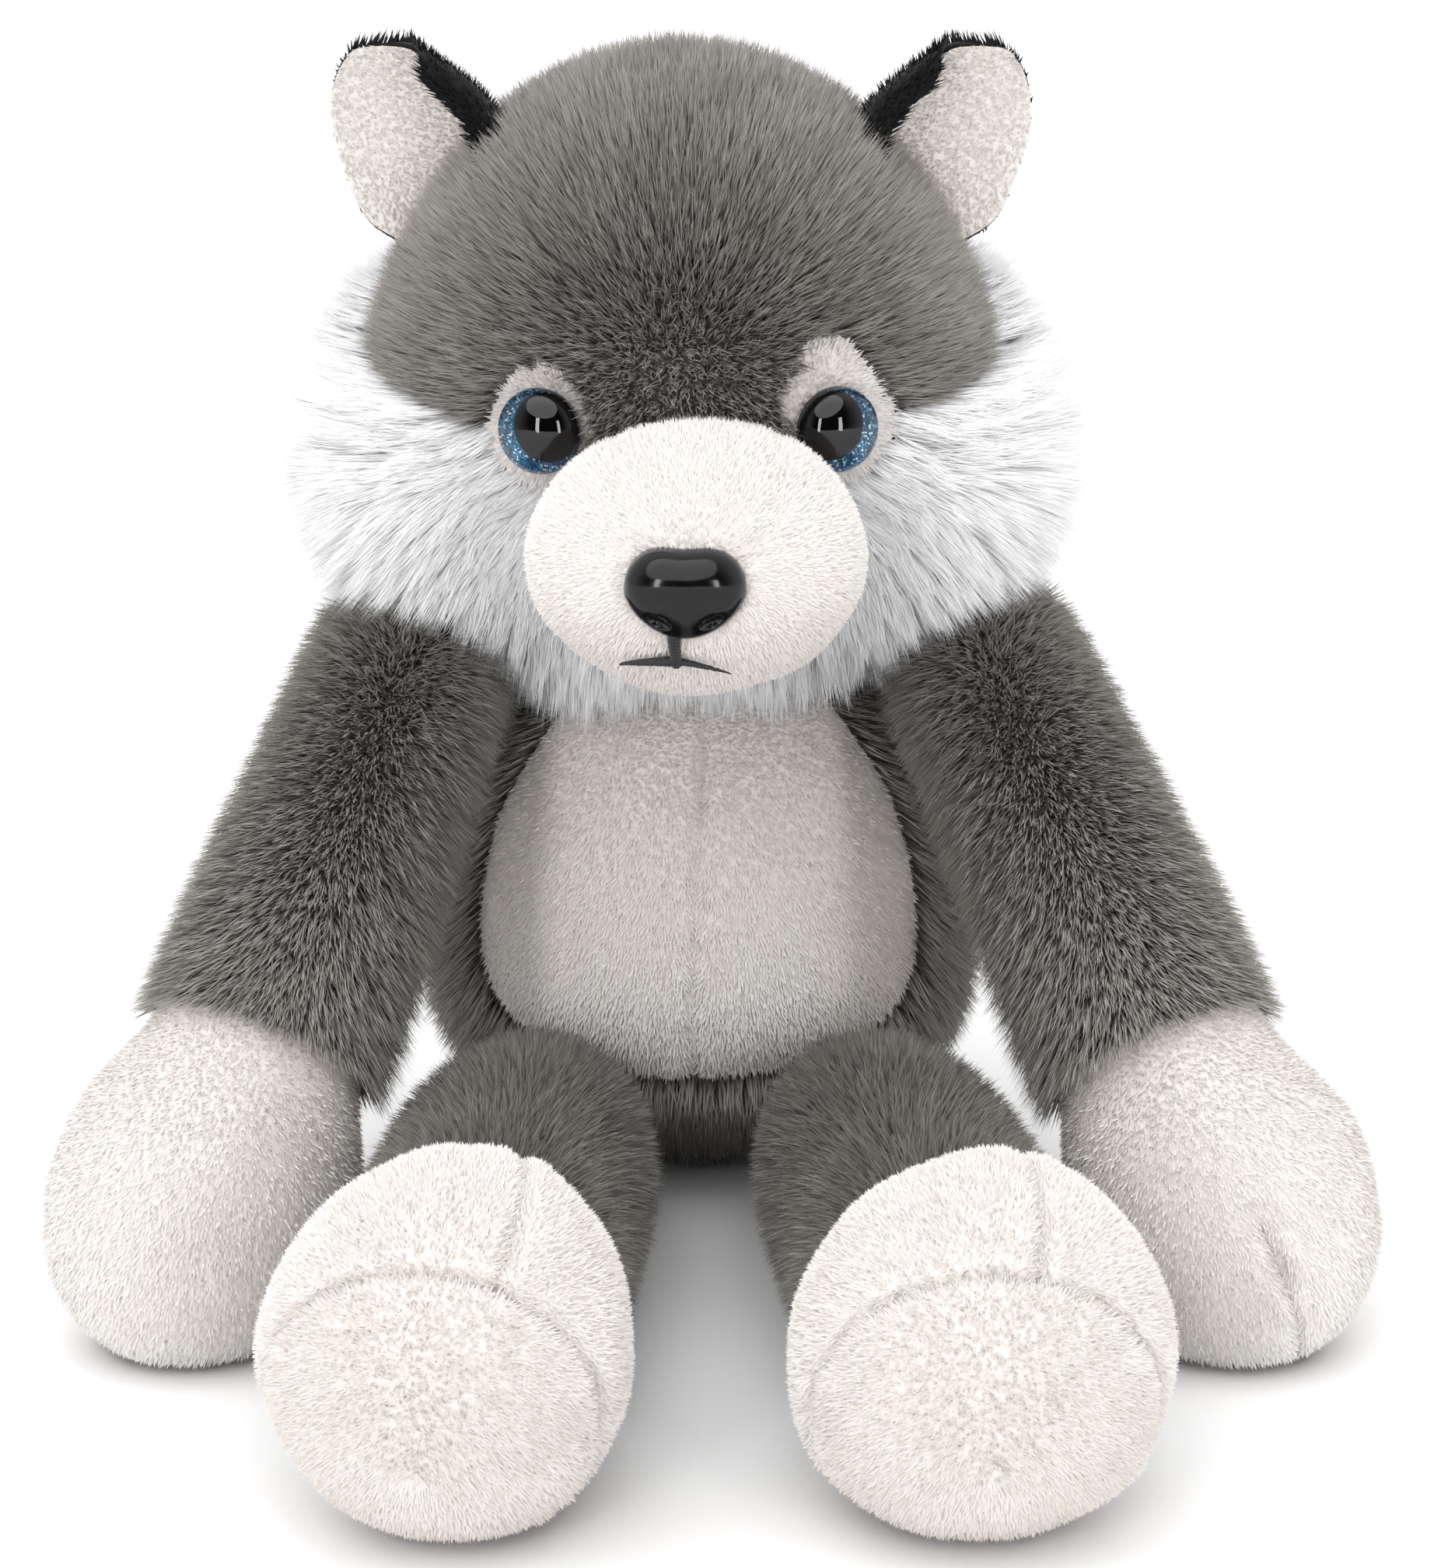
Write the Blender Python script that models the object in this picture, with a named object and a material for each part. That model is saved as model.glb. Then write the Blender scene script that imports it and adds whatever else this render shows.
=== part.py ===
"""Seated plush husky: sewn pile panels over stuffed forms, with safety eyes and a moulded nose.

Sizes are in millimetres and are turned to metres when a mesh is made, with the middle of the
seat moved to the origin. The toy sits on z = 0 and faces -Y. Its own left is at +X. Every piece of cloth is a solid as thick as its pile, so
the outside of the solids is the outside of the fur.
"""
import math

import bmesh
import bpy
from mathutils import Matrix, Vector

MM = 0.001
SEAT_AT = Vector((0.0, 40.0, 0.0))      # the middle of the seat, which becomes the origin

# Fits and cloth
SEAM = 0.3              # free space between two neighbouring pieces
FILL_SLACK = 0.6        # free space between the filling and the cloth round it
SHORT_PILE = 3.0        # muzzle, belly, paws, feet and the patches round the eyes
GREY_PILE = 7.0         # limbs, body and tail
CROWN_PILE = 8.0        # top and back of the head
CHEEK_PILE_FACE = 5.0   # long white pile where it lies flat beside the muzzle
CHEEK_PILE_SIDE = 22.0  # long white pile where it stands out at the side of the head
EAR_CLOTH = 2.4         # each of the two layers of an ear

# Head
HEAD_CENTRE = Vector((-2.4, 8.0, 166.0))
HEAD_HALF_WIDTH = 51.0
HEAD_HALF_DEPTH = 50.0
HEAD_ABOVE = 56.0
HEAD_BELOW = 47.0
CHEEK_BULGE = 0.16      # share by which the stuffed cheeks stand out of the plain head
FACE_DIP = 20.0         # degrees by which the head's seams are laid out below the horizontal
CROWN_BACK = 122.0      # degrees from the face axis to the seam at the back of the crown
FACE_OPEN = 14.0        # degrees from the face axis to where the head panels begin

FACE_SHIFT = 1.6        # the face is sewn this much to the toy's left of the head's middle

# Safety eyes
EYE_WIDTH = 16.0
EYE_DOME = 5.2
IRIS_PLATE = 1.4
STEM_WIDTH = 3.4
STEM_LENGTH = 13.0
WASHER_WIDTH = 11.0
WASHER_THICK = 1.2
EYE_SHARE = 0.494       # of the head's half width, from the middle of the face to an eye
EYE_SPREAD = HEAD_HALF_WIDTH * EYE_SHARE
EYE_HEIGHT = 161.8
PATCH_MEAN = 12.2       # the short pile patch round an eye, from the eye's centre
PATCH_LEAN = 2.4        # how much farther it reaches up and out

# Muzzle, nose and mouth
MUZZLE_BELOW_EYES = 21.3
MUZZLE_AHEAD = 9.0      # the muzzle's middle in front of the head's front
MUZZLE_SHIFT = 3.2      # the muzzle's middle to the toy's left of the head's middle
MUZZLE_CENTRE = Vector((HEAD_CENTRE.x + MUZZLE_SHIFT, HEAD_CENTRE.y - HEAD_HALF_DEPTH - MUZZLE_AHEAD,
                        EYE_HEIGHT - MUZZLE_BELOW_EYES))
MUZZLE_HALF_WIDTH = 28.2
MUZZLE_LENGTH = 34.5
MUZZLE_ABOVE = 22.0
MUZZLE_BELOW = 21.6
GUSSET_AT_NOSE = 52.0   # degrees each side of the top, at the nose
GUSSET_AT_FACE = 36.0   # degrees each side of the top, at the face
NOSE_WIDTH = 21.2
NOSE_HEIGHT = 15.6
NOSE_DEPTH = 8.0
NOSE_RISE = 0.8         # nose centre above the muzzle's axis
NOSE_SHIFT = -1.8       # nose centre to the side of the muzzle's middle
NOSTRIL = 1.7
THREAD = 0.55           # radius of the mouth's embroidery thread
MOUTH_SHIFT = -2.0      # the mouth's stem to the side of the nose's middle
MOUTH_STEM = 4.9
MOUTH_LEFT = (8.1, 1.4)     # reach and drop of the branch on the viewer's left
MOUTH_RIGHT = (8.2, 2.6)

# Ears
EAR_HEIGHT = 35.5
EAR_HALF_WIDTH = 19.0
EAR_CUP = 9.0           # how far the outer edge comes forward
EAR_ROLL = 5.0          # radius of the roll at the inner edge
EAR_ROLL_FROM = -0.70   # where the roll starts, 0 being the ear's middle and -1 its inner edge
EAR_ROLL_TURN = 165.0   # degrees that the cloth turns in the roll
EAR_FROM_FACE = 98.0    # degrees from the face axis to the middle of an ear's root
EAR_FROM_TOP = 51.0     # degrees round the face axis from the top of the head
EAR_UP = Vector((0.65, 0.22, 0.76))
EAR_OPENS = Vector((0.62, -0.76, 0.12))

# Body
BODY_CENTRE = Vector((1.0, 22.0, 60.0))
BODY_HALF_WIDTH = 49.0
BODY_FRONT = 46.0
BODY_BACK = 40.0
BODY_ABOVE = 56.0
BODY_BELOW = 54.5
SEAT_TUCK = 20.0        # how far the seat lies back under the body
BELLY_FOOT = -28.5      # latitude in degrees where the belly panel ends below
BELLY_HALF = 57.0       # degrees each side of the front, at its widest

# Limbs: a centre line by three points, and the stuffed radius at the root, middle and end
ARM_LEFT = (Vector((55.0, 10.0, 112.0)), Vector((66.5, -54.0, 96.0)), Vector((107.0, -86.0, 1.0)))
ARM_RIGHT = (Vector((-54.0, 10.0, 113.0)), Vector((-61.5, -54.0, 98.0)), Vector((-99.0, -86.0, 1.0)))
ARM_ROOT = 12.5
ARM_MIDDLE = 14.0
WRIST = 17.5
PAW = 25.8
PAW_LENGTH = 50.0
END_FULL = 2.3          # 2 gives a limb a plain round end, more a fuller one
LEG_LEFT = (Vector((31.0, 8.0, 17.0)), Vector((38.0, -60.0, 24.0)), Vector((45.0, -148.0, 28.0)))
LEG_RIGHT = (Vector((-28.0, 8.0, 17.0)), Vector((-32.5, -60.0, 24.0)), Vector((-38.0, -148.0, 28.0)))
LEG_ROOT = 10.5
ANKLE = 18.6
ANKLE_SHARE = 0.955     # share of a leg's centre line where its cloth ends inside the foot
FOOT_LEFT = Vector((47.5, -157.0, 31.0))
FOOT_RIGHT = Vector((-39.8, -157.0, 31.0))
FOOT_HALF_WIDTH = 28.6
FOOT_HALF_LENGTH = 28.5
FOOT_HALF_HEIGHT = 29.0
SOLE = 66.0             # degrees from the middle of the sole to its seam
SOLE_DIP = 24.0         # degrees by which the sole looks down
SOLE_TURN_LEFT = 0.0    # degrees by which each sole looks out
SOLE_TURN_RIGHT = 8.0
FOOT_LEAN_LEFT = -16.0  # degrees by which each foot's top seam leans
FOOT_LEAN_RIGHT = -27.0

# Tail
TAIL = (Vector((0.4, 60.0, 26.0)), Vector((1.8, 92.0, 22.0)), Vector((9.0, 112.0, 46.0)))
TAIL_ROOT = 7.0
TAIL_MIDDLE = 11.0
TAIL_START_CAP = 5.0
TAIL_END_CAP = 15.0

# Colours, roughness
CLOTHS = {
    "grey_pile": ((0.21, 0.20, 0.185, 1.0), 0.95),
    "white_long_pile": ((0.88, 0.87, 0.89, 1.0), 0.95),
    "white_short_pile": ((0.86, 0.82, 0.78, 1.0), 0.95),
    "black_short_pile": ((0.008, 0.008, 0.008, 1.0), 0.90),
    "black_plastic": ((0.004, 0.004, 0.004, 1.0), 0.08),
    "clear_plastic": ((0.80, 0.85, 0.90, 1.0), 0.04),
    "blue_glitter": ((0.012, 0.15, 0.35, 1.0), 0.30),
    "black_thread": ((0.01, 0.01, 0.01, 1.0), 0.70),
    "washer_plastic": ((0.75, 0.75, 0.73, 1.0), 0.40),
    "fibre_fill": ((0.85, 0.85, 0.83, 1.0), 1.00),
}


def clear_scene():
    for thing in list(bpy.data.objects):
        bpy.data.objects.remove(thing, do_unlink=True)


def material(name):
    found = bpy.data.materials.get(name)
    if found:
        return found
    colour, roughness = CLOTHS[name]
    made = bpy.data.materials.new(name)
    made.use_nodes = True
    shader = made.node_tree.nodes["Principled BSDF"]
    shader.inputs["Base Color"].default_value = colour
    shader.inputs["Roughness"].default_value = roughness
    made.diffuse_color = colour
    return made


def mix(a, b, share):
    return a + (b - a) * share


def ease(x, low, high):
    """Smooth 0 to 1 as x goes from low to high."""
    t = min(max((x - low) / (high - low), 0.0), 1.0)
    return t * t * (3.0 - 2.0 * t)


def spread(low, high, steps):
    return [mix(low, high, i / steps) for i in range(steps + 1)]


# The stuffed forms. A form gives a skin point for a row and a column, both as numbers in
# degrees or in a share of a length, and the rest is worked out from it.

class Form:
    """A closed skin on rows (pole to pole) and columns (all round, in degrees)."""

    def __init__(self, skin, middle, first, last, floor_pile=None):
        self.skin = skin
        self.middle = middle
        self.first = first
        self.last = last
        self.floor_pile = floor_pile

    def normal(self, row, col):
        """Out of the skin. A pole, where all columns meet, has the mean of those round it."""
        step = (self.last - self.first) * 0.002
        if row < self.first + step or row > self.last - step:
            inside = min(max(row, self.first + 3 * step), self.last - 3 * step)
            return sum((self.normal(inside, c) for c in range(0, 360, 30)), Vector()).normalized()
        row = min(max(row, self.first + 3 * step), self.last - 3 * step)
        along = self.skin(row + step, col) - self.skin(row - step, col)
        around = self.skin(row, col + 0.5) - self.skin(row, col - 0.5)
        out = along.cross(around).normalized()
        return out if out.dot(self.skin(row, col) - self.middle(row)) > 0 else -out

    def at(self, row, col, height):
        """The point that stands this high on the skin, kept on or above the floor."""
        point = self.skin(row, col) + self.normal(row, col) * height
        if self.floor_pile is not None:
            point.z = max(point.z, self.floor_pile - height)
        return point


def face_axes(dip, turn=0.0, lean=0.0):
    """Axis out of the face, its up and its right, for a dip below the horizontal and a turn."""
    d = math.radians(dip)
    out = Vector((0.0, -math.cos(d), -math.sin(d)))
    up = Vector((0.0, -math.sin(d), math.cos(d)))
    right = Vector((1.0, 0.0, 0.0))
    tilt = Matrix.Rotation(math.radians(lean), 3, out)
    swing = Matrix.Rotation(math.radians(turn), 3, "Z")
    return swing @ out, swing @ (tilt @ up), swing @ (tilt @ right)


def direction(axes, row, col):
    out, up, right = axes
    r, c = math.radians(row), math.radians(col)
    return out * math.cos(r) + (up * math.cos(c) + right * math.sin(c)) * math.sin(r)


def egg(d, half_x, half_y, above, below):
    half_z = above if d.z > 0 else below
    return 1.0 / math.sqrt((d.x / half_x) ** 2 + (d.y / half_y) ** 2 + (d.z / half_z) ** 2)


HEAD_AXES = face_axes(FACE_DIP)
MUZZLE_AXES = face_axes(0.0)


def head_skin(row, col):
    d = direction(HEAD_AXES, row, col)
    side = max(abs(d.x) * 0.86 - d.z * 0.50 - d.y * 0.05, 0.0)
    bulge = 1.0 + CHEEK_BULGE * side ** 4
    return HEAD_CENTRE + d * egg(d, HEAD_HALF_WIDTH, HEAD_HALF_DEPTH, HEAD_ABOVE, HEAD_BELOW) * bulge


def muzzle_skin(row, col):
    d = direction(MUZZLE_AXES, row, col)
    return MUZZLE_CENTRE + d * egg(d, MUZZLE_HALF_WIDTH, MUZZLE_LENGTH, MUZZLE_ABOVE, MUZZLE_BELOW)


def body_skin(row, col):
    """Rows are latitude from -90 at the seat to 90 at the neck, columns turn from the front."""
    lat, turn = math.radians(row), math.radians(col)
    girth = max(math.cos(lat), 0.0) ** 0.75 * (1.0 - 0.13 * math.sin(lat))
    deep = mix(BODY_BACK, BODY_FRONT, 0.5 + 0.5 * math.cos(turn))
    high = BODY_ABOVE if row > 0 else BODY_BELOW
    tuck = SEAT_TUCK * ease(-row, 0.0, 60.0) ** 2
    return BODY_CENTRE + Vector((BODY_HALF_WIDTH * girth * math.sin(turn),
                                 tuck - deep * girth * math.cos(turn),
                                 high * math.sin(lat)))


def bend(points, share):
    """A point and the direction on the curve led by three points."""
    a, b, c = points
    s = 1.0 - share
    place = a * s * s + b * 2 * s * share + c * share * share
    heading = (b - a) * s + (c - b) * share
    return place, heading.normalized()


def limb_form(points, radius, start_cap, end_cap, floor_pile):
    """A stuffed tube round a bent centre line, round at both ends."""
    length = sum((bend(points, (i + 1) / 40)[0] - bend(points, i / 40)[0]).length for i in range(40))

    def cap(share):
        run = share * length
        if run < start_cap:
            return math.sqrt(max(1.0 - (1.0 - run / start_cap) ** 2, 0.0))
        if length - run < end_cap:
            return max(1.0 - (1.0 - (length - run) / end_cap) ** END_FULL, 0.0) ** (1.0 / END_FULL)
        return 1.0

    def skin(share, col):
        place, heading = bend(points, share)
        side = heading.cross(Vector((0.0, 0.0, 1.0))).normalized()
        lift = side.cross(heading)
        turn = math.radians(col)
        return place + (side * math.cos(turn) + lift * math.sin(turn)) * radius(share) * cap(share)

    form = Form(skin, lambda share: bend(points, min(max(share, 0.08), 0.92))[0], 0.0, 1.0, floor_pile)
    form.length = length
    return form


def arm_form(points, floor_pile):
    rough = sum((bend(points, (i + 1) / 40)[0] - bend(points, i / 40)[0]).length for i in range(40))
    wrist = 1.0 - PAW_LENGTH / rough

    def radius(share):
        arm = mix(ARM_ROOT, ARM_MIDDLE, ease(share, 0.0, 0.45 * wrist))
        arm = mix(arm, WRIST, ease(share, 0.35 * wrist, wrist))
        return mix(arm, PAW, ease(share, wrist, mix(wrist, 1.0, 0.5)))

    form = limb_form(points, radius, ARM_ROOT, PAW, floor_pile)
    form.wrist = wrist
    return form


def leg_form(points):
    return limb_form(points, lambda share: mix(LEG_ROOT, ANKLE, ease(share, 0.0, 0.5)),
                     12.0, 8.0, GREY_PILE)


def foot_form(centre, axes):
    def skin(row, col):
        d = direction(axes, row, col)
        return centre + d * egg(d, FOOT_HALF_WIDTH, FOOT_HALF_LENGTH, FOOT_HALF_HEIGHT, FOOT_HALF_HEIGHT)
    return Form(skin, lambda row: centre, 0.0, 180.0, SHORT_PILE)


# Meshes

def put_object(name, bm, cloth, merge=0.002):
    bmesh.ops.remove_doubles(bm, verts=bm.verts, dist=merge)
    bare = [edge for edge in bm.edges if not edge.link_faces]
    bmesh.ops.delete(bm, geom=bare, context="EDGES")
    bmesh.ops.triangulate(bm, faces=bm.faces)
    bmesh.ops.recalc_face_normals(bm, faces=bm.faces)
    for vert in bm.verts:
        vert.co = (vert.co - SEAT_AT) * MM
    mesh = bpy.data.meshes.new(name)
    bm.to_mesh(mesh)
    bm.free()
    made = bpy.data.objects.new(name, mesh)
    bpy.context.scene.collection.objects.link(made)
    if cloth:
        mesh.materials.append(material(cloth))
    else:
        made.hide_render = True
        made.display_type = "WIRE"
    return made


def skin_faces(bm, grid, ring):
    count = len(grid[0])
    for upper, lower in zip(grid, grid[1:]):
        for j in range(count if ring else count - 1):
            k = (j + 1) % count
            corners = [upper[j], upper[k], lower[k], lower[j]]
            bm.faces.new(corners)


def wall_faces(bm, outer, inner, closed=False):
    count = len(outer)
    for j in range(count if closed else count - 1):
        k = (j + 1) % count
        bm.faces.new([outer[j], inner[j], inner[k], outer[k]])


def panel(name, form, rows, columns, pile, cloth, ring=False, base=0.0, side=0):
    """A piece of cloth: the solid between the skin and the tips of its pile.

    columns(row) lists the columns of a row. side is 1 or -1 for a piece that stops at the
    middle of the toy, half a seam away from it.
    """
    middle = form.middle(rows[0]).x

    def place(row, col, height):
        point = form.at(row, col, height)
        if side:
            point.x = middle + side * max(side * (point.x - middle), SEAM / 2)
        return point

    bm = bmesh.new()
    outer = [[bm.verts.new(place(r, c, pile(r, c))) for c in columns(r)] for r in rows]
    inner = [[bm.verts.new(place(r, c, base)) for c in columns(r)] for r in rows]
    skin_faces(bm, outer, ring)
    skin_faces(bm, inner, ring)
    wall_faces(bm, outer[0], inner[0], ring)
    wall_faces(bm, outer[-1], inner[-1], ring)
    if not ring:
        wall_faces(bm, [r[0] for r in outer], [r[0] for r in inner])
        wall_faces(bm, [r[-1] for r in outer], [r[-1] for r in inner])
    return put_object(name, bm, cloth)


def solid(name, form, rows, columns, height, cloth=None):
    """The whole form as one closed solid, this high above its skin."""
    high = height if callable(height) else lambda r, c: height
    bm = bmesh.new()
    poles = (form.first, form.last)
    grid = [[bm.verts.new(form.at(r, c, high(r, 180.0 if r in poles else c))) for c in columns(r)]
            for r in rows]
    skin_faces(bm, grid, True)
    for row in (grid[0], grid[-1]):
        hub = bm.verts.new(sum((v.co for v in row), Vector()) / len(row))
        for j in range(len(row)):
            bm.faces.new([row[j], row[(j + 1) % len(row)], hub])
    return put_object(name, bm, cloth)


def ring_columns(count):
    return lambda row: [360.0 * j / count for j in range(count)]


def turned(name, profile, count, place, axes, cloth, shape=None):
    """A solid turned from (radius, height) pairs, both ends on the axis."""
    out, up, right = axes
    bm = bmesh.new()
    rings = []
    for radius, height in profile:
        ring = []
        for j in range(count):
            a = 2 * math.pi * j / count
            wide = shape(a, radius) if shape else radius
            ring.append(bm.verts.new(place + out * height + (up * math.cos(a) + right * math.sin(a)) * wide))
        rings.append(ring)
    skin_faces(bm, rings, True)
    return put_object(name, bm, cloth)


def thread(name, points, radius, cloth, sides=5):
    bm = bmesh.new()
    rings = []
    for i, point in enumerate(points):
        heading = (points[min(i + 1, len(points) - 1)] - points[max(i - 1, 0)]).normalized()
        side = heading.cross(Vector((0.1, 1.0, 0.05))).normalized()
        lift = side.cross(heading)
        rings.append([bm.verts.new(point + (side * math.cos(2 * math.pi * j / sides)
                                            + lift * math.sin(2 * math.pi * j / sides)) * radius)
                      for j in range(sides)])
    skin_faces(bm, rings, True)
    bm.faces.new(rings[0])
    bm.faces.new(rings[-1])
    return put_object(name, bm, cloth)


def cut(thing, *cutters):
    for cutter in cutters:
        boolean(thing, cutter, "DIFFERENCE")


def join(thing, *others):
    for other in others:
        boolean(thing, other, "UNION")


def boolean(thing, other, operation):
    step = thing.modifiers.new(operation.title() + " " + other.name, "BOOLEAN")
    step.operation = operation
    step.solver = "EXACT"
    step.object = other


# Head

def crown_edge(row):
    """Degrees from the top of the head to where the grey crown ends, for each row."""
    return 76.0 + 7.0 * ease(row, 40.0, 80.0) - 8.0 * ease(row, 84.0, 104.0)


def seam_turn(row):
    """Half a seam as degrees round the face axis."""
    return math.degrees(SEAM / 2 / (HEAD_HALF_DEPTH * math.sin(math.radians(row))))


CROWN_COLUMNS = 8
CHEEK_COLUMNS = 5


def crown_columns(row):
    edge = crown_edge(row) - seam_turn(row)
    return spread(-edge, edge, CROWN_COLUMNS)


def cheek_columns(side):
    return lambda row: [side * c for c in spread(crown_edge(row) + seam_turn(row), 180.0, CHEEK_COLUMNS)]


def head_columns(row):
    """Columns all round the head, with one on each edge of the crown."""
    edge = crown_edge(min(max(row, FACE_OPEN), CROWN_BACK))
    right_side = spread(edge, 180.0, CHEEK_COLUMNS)[1:]
    return spread(-edge, edge, CROWN_COLUMNS) + right_side + [-c for c in reversed(right_side[:-1])]


def head_rows():
    return [0.0] + spread(FACE_OPEN, CROWN_BACK, 8) + spread(CROWN_BACK, 180.0, 4)[1:]


def cheek_pile(row, col):
    """Short beside the muzzle, long at the side of the head, medium under the chin."""
    side = mix(CHEEK_PILE_SIDE, 10.0, ease(abs(col), 112.0, 172.0))
    edge = mix(0.62, 1.0, ease(abs(col), crown_edge(row), crown_edge(row) + 22.0))
    return mix(CHEEK_PILE_FACE, side * edge, ease(row, 30.0, 72.0))


def back_pile(row, col):
    """Grey above, blending to the cheeks' length where the head meets them."""
    low = ease(abs(col), crown_edge(CROWN_BACK) - 5.0, crown_edge(CROWN_BACK) + 25.0)
    return mix(CROWN_PILE, cheek_pile(CROWN_BACK, col) * 0.8, low * ease(row, 160.0, 125.0) * 0.6)


def head_pile(row, col):
    wrapped = (col + 180.0) % 360.0 - 180.0
    if row > CROWN_BACK:
        return back_pile(row, wrapped)
    return CROWN_PILE if abs(wrapped) < crown_edge(row) - 0.01 else cheek_pile(row, wrapped)


def head_spot(x, z):
    """The point and the normal on the front of the head at this x and z."""
    out, up, right = HEAD_AXES
    y = HEAD_CENTRE.y - HEAD_HALF_DEPTH
    for _ in range(20):
        d = (Vector((x, y, z)) - HEAD_CENTRE).normalized()
        row = math.degrees(math.acos(d.dot(out)))
        col = math.degrees(math.atan2(d.dot(right), d.dot(up)))
        y += head_skin(row, col).y - (HEAD_CENTRE + d * (Vector((x, y, z)) - HEAD_CENTRE).length).y
    return row, col


def build_head():
    form = Form(head_skin, lambda row: HEAD_CENTRE, 0.0, 180.0)
    rows = spread(FACE_OPEN, CROWN_BACK, 8)
    back_gap = math.degrees(SEAM / HEAD_HALF_DEPTH)
    pieces = [panel("head_crown", form, rows, crown_columns, lambda r, c: CROWN_PILE, "grey_pile")]
    for side, word in ((1, "left"), (-1, "right")):
        pieces.append(panel("cheek_" + word, form, rows, cheek_columns(side), cheek_pile,
                            "white_long_pile", side=side))

    def back_columns(row):
        right_side = cheek_columns(1)(CROWN_BACK)[1:]
        left_side = [-c for c in reversed(right_side[:-1])]
        return crown_columns(CROWN_BACK) + right_side + left_side

    back = panel("head_back", form, spread(CROWN_BACK + back_gap, 180.0, 4), back_columns,
                 back_pile, "grey_pile", ring=True)
    pieces.append(back)
    return form, pieces


def eye_axes(form, row, col):
    out = form.normal(row, col)
    right = Vector((0.0, 0.0, 1.0)).cross(out).normalized() * -1.0
    return out, right.cross(out) * -1.0 if right.cross(out).z < 0 else right.cross(out), right


def patch_reach(side, turn):
    """How far the eye's patch reaches at a turn from the top, outwards being the side's own."""
    lean = math.radians(28.0)
    return PATCH_MEAN + PATCH_LEAN * math.cos(turn - side * lean)


def patch_solid(name, form, spot, axes, side, grow, low, high, cloth, hole=0.0):
    """The patch round an eye as a slab that follows the head, from low to high on its skin."""
    place, (out, up, right) = spot, axes
    count = 16
    shares = [0.0, 0.5, 1.0] if not hole else [None, 0.55, 1.0]
    bm = bmesh.new()
    layers = []
    for height in (high, low):
        rings = []
        for share in shares:
            ring = []
            for j in range(count):
                a = 2 * math.pi * j / count
                reach = patch_reach(side, a) + grow
                r = hole if share is None else reach * share
                ray = place + (up * math.cos(a) + right * math.sin(a)) * r - HEAD_CENTRE
                d = ray.normalized()
                row = math.degrees(math.acos(min(max(d.dot(HEAD_AXES[0]), -1.0), 1.0)))
                col = math.degrees(math.atan2(d.dot(HEAD_AXES[2]), d.dot(HEAD_AXES[1])))
                ring.append(bm.verts.new(form.at(row, col, height)))
            rings.append(ring)
        layers.append(rings)
    for rings in layers:
        skin_faces(bm, rings, True)
    wall_faces(bm, layers[0][-1], layers[1][-1], True)
    if hole:
        wall_faces(bm, layers[0][0], layers[1][0], True)
    return put_object(name, bm, cloth)


def build_eye(form, side, word):
    """A clear dome on a glitter plate with a stem, the washer behind the cloth, and the patch."""
    row, col = head_spot(HEAD_CENTRE.x + FACE_SHIFT + side * EYE_SPREAD, EYE_HEIGHT)
    spot, axes = form.at(row, col, 0.0), eye_axes(form, row, col)
    seat = spot + axes[0] * (SHORT_PILE + SEAM)
    half, stem = EYE_WIDTH / 2, STEM_WIDTH / 2
    dome_base = IRIS_PLATE + 0.1
    dome = [(half * math.cos(math.radians(a)), dome_base + 0.6 + EYE_DOME * math.sin(math.radians(a)))
            for a in (0, 22, 44, 66, 90)]
    turned("eye_" + word, [(0.0, dome_base), (half, dome_base)] + dome, 18, seat, axes, "clear_plastic")
    plate = [(0.0, IRIS_PLATE), (half - 0.3, IRIS_PLATE), (half - 0.3, 0.0), (stem, 0.0),
             (stem, 1.0 - STEM_LENGTH), (stem - 0.6, -STEM_LENGTH), (0.0, -STEM_LENGTH)]
    turned("iris_" + word, plate, 16, seat, axes, "blue_glitter")
    washer_top = -(SHORT_PILE + SEAM) - 0.9
    bore = stem + SEAM
    washer(word, "eye_washer_", seat, axes, washer_top, bore)
    patch = patch_solid("brow_patch_" + word, form, spot, axes, side, 0.0, 0.0, SHORT_PILE,
                        "white_short_pile", hole=bore)
    window = patch_solid("window_" + word, form, spot, axes, side, SEAM, -1.5, 34.0, None)
    pocket = turned("pocket_" + word, [(0.0, 4.0), (bore, 4.0), (bore, washer_top + SEAM + 1.5),
                                       (WASHER_WIDTH / 2 + SEAM, washer_top + SEAM + 1.5),
                                       (WASHER_WIDTH / 2 + SEAM, washer_top - WASHER_THICK - SEAM),
                                       (bore, washer_top - WASHER_THICK - SEAM),
                                       (bore, -STEM_LENGTH - SEAM), (0.0, -STEM_LENGTH - SEAM)],
                    12, seat, axes, None)
    room = turned("eye_room_" + word, [(0.0, -SEAM), (half + SEAM, -SEAM), (half + SEAM, 2.0 * EYE_DOME),
                                       (0.0, 2.0 * EYE_DOME)], 20, seat, axes, None)
    return patch, window, pocket, room


def washer(word, stem_name, seat, axes, top, bore):
    rim = WASHER_WIDTH / 2
    low = top - WASHER_THICK
    profile = [(bore, top), (rim - 0.2, top), (rim, top - 0.2), (rim, low), (bore, low), (bore, top)]
    return turned(stem_name + word, profile, 12, seat, axes, "washer_plastic")


def gusset_edge(row):
    return mix(GUSSET_AT_NOSE, GUSSET_AT_FACE, ease(row, 20.0, 70.0))


def muzzle_turn(row):
    return math.degrees(SEAM / 2 / (MUZZLE_ABOVE * max(math.sin(math.radians(row)), 0.1)))


def muzzle_columns(row):
    """Columns all round the muzzle, with one on each seam of the gusset."""
    edge = gusset_edge(row)
    right_side = spread(edge, 180.0, 6)[1:]
    return spread(-edge, edge, 5) + right_side + [-c for c in reversed(right_side[:-1])]


def muzzle_rows():
    return [0.0] + spread(5.5, 108.0, 6) + [140.0, 180.0]


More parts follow.
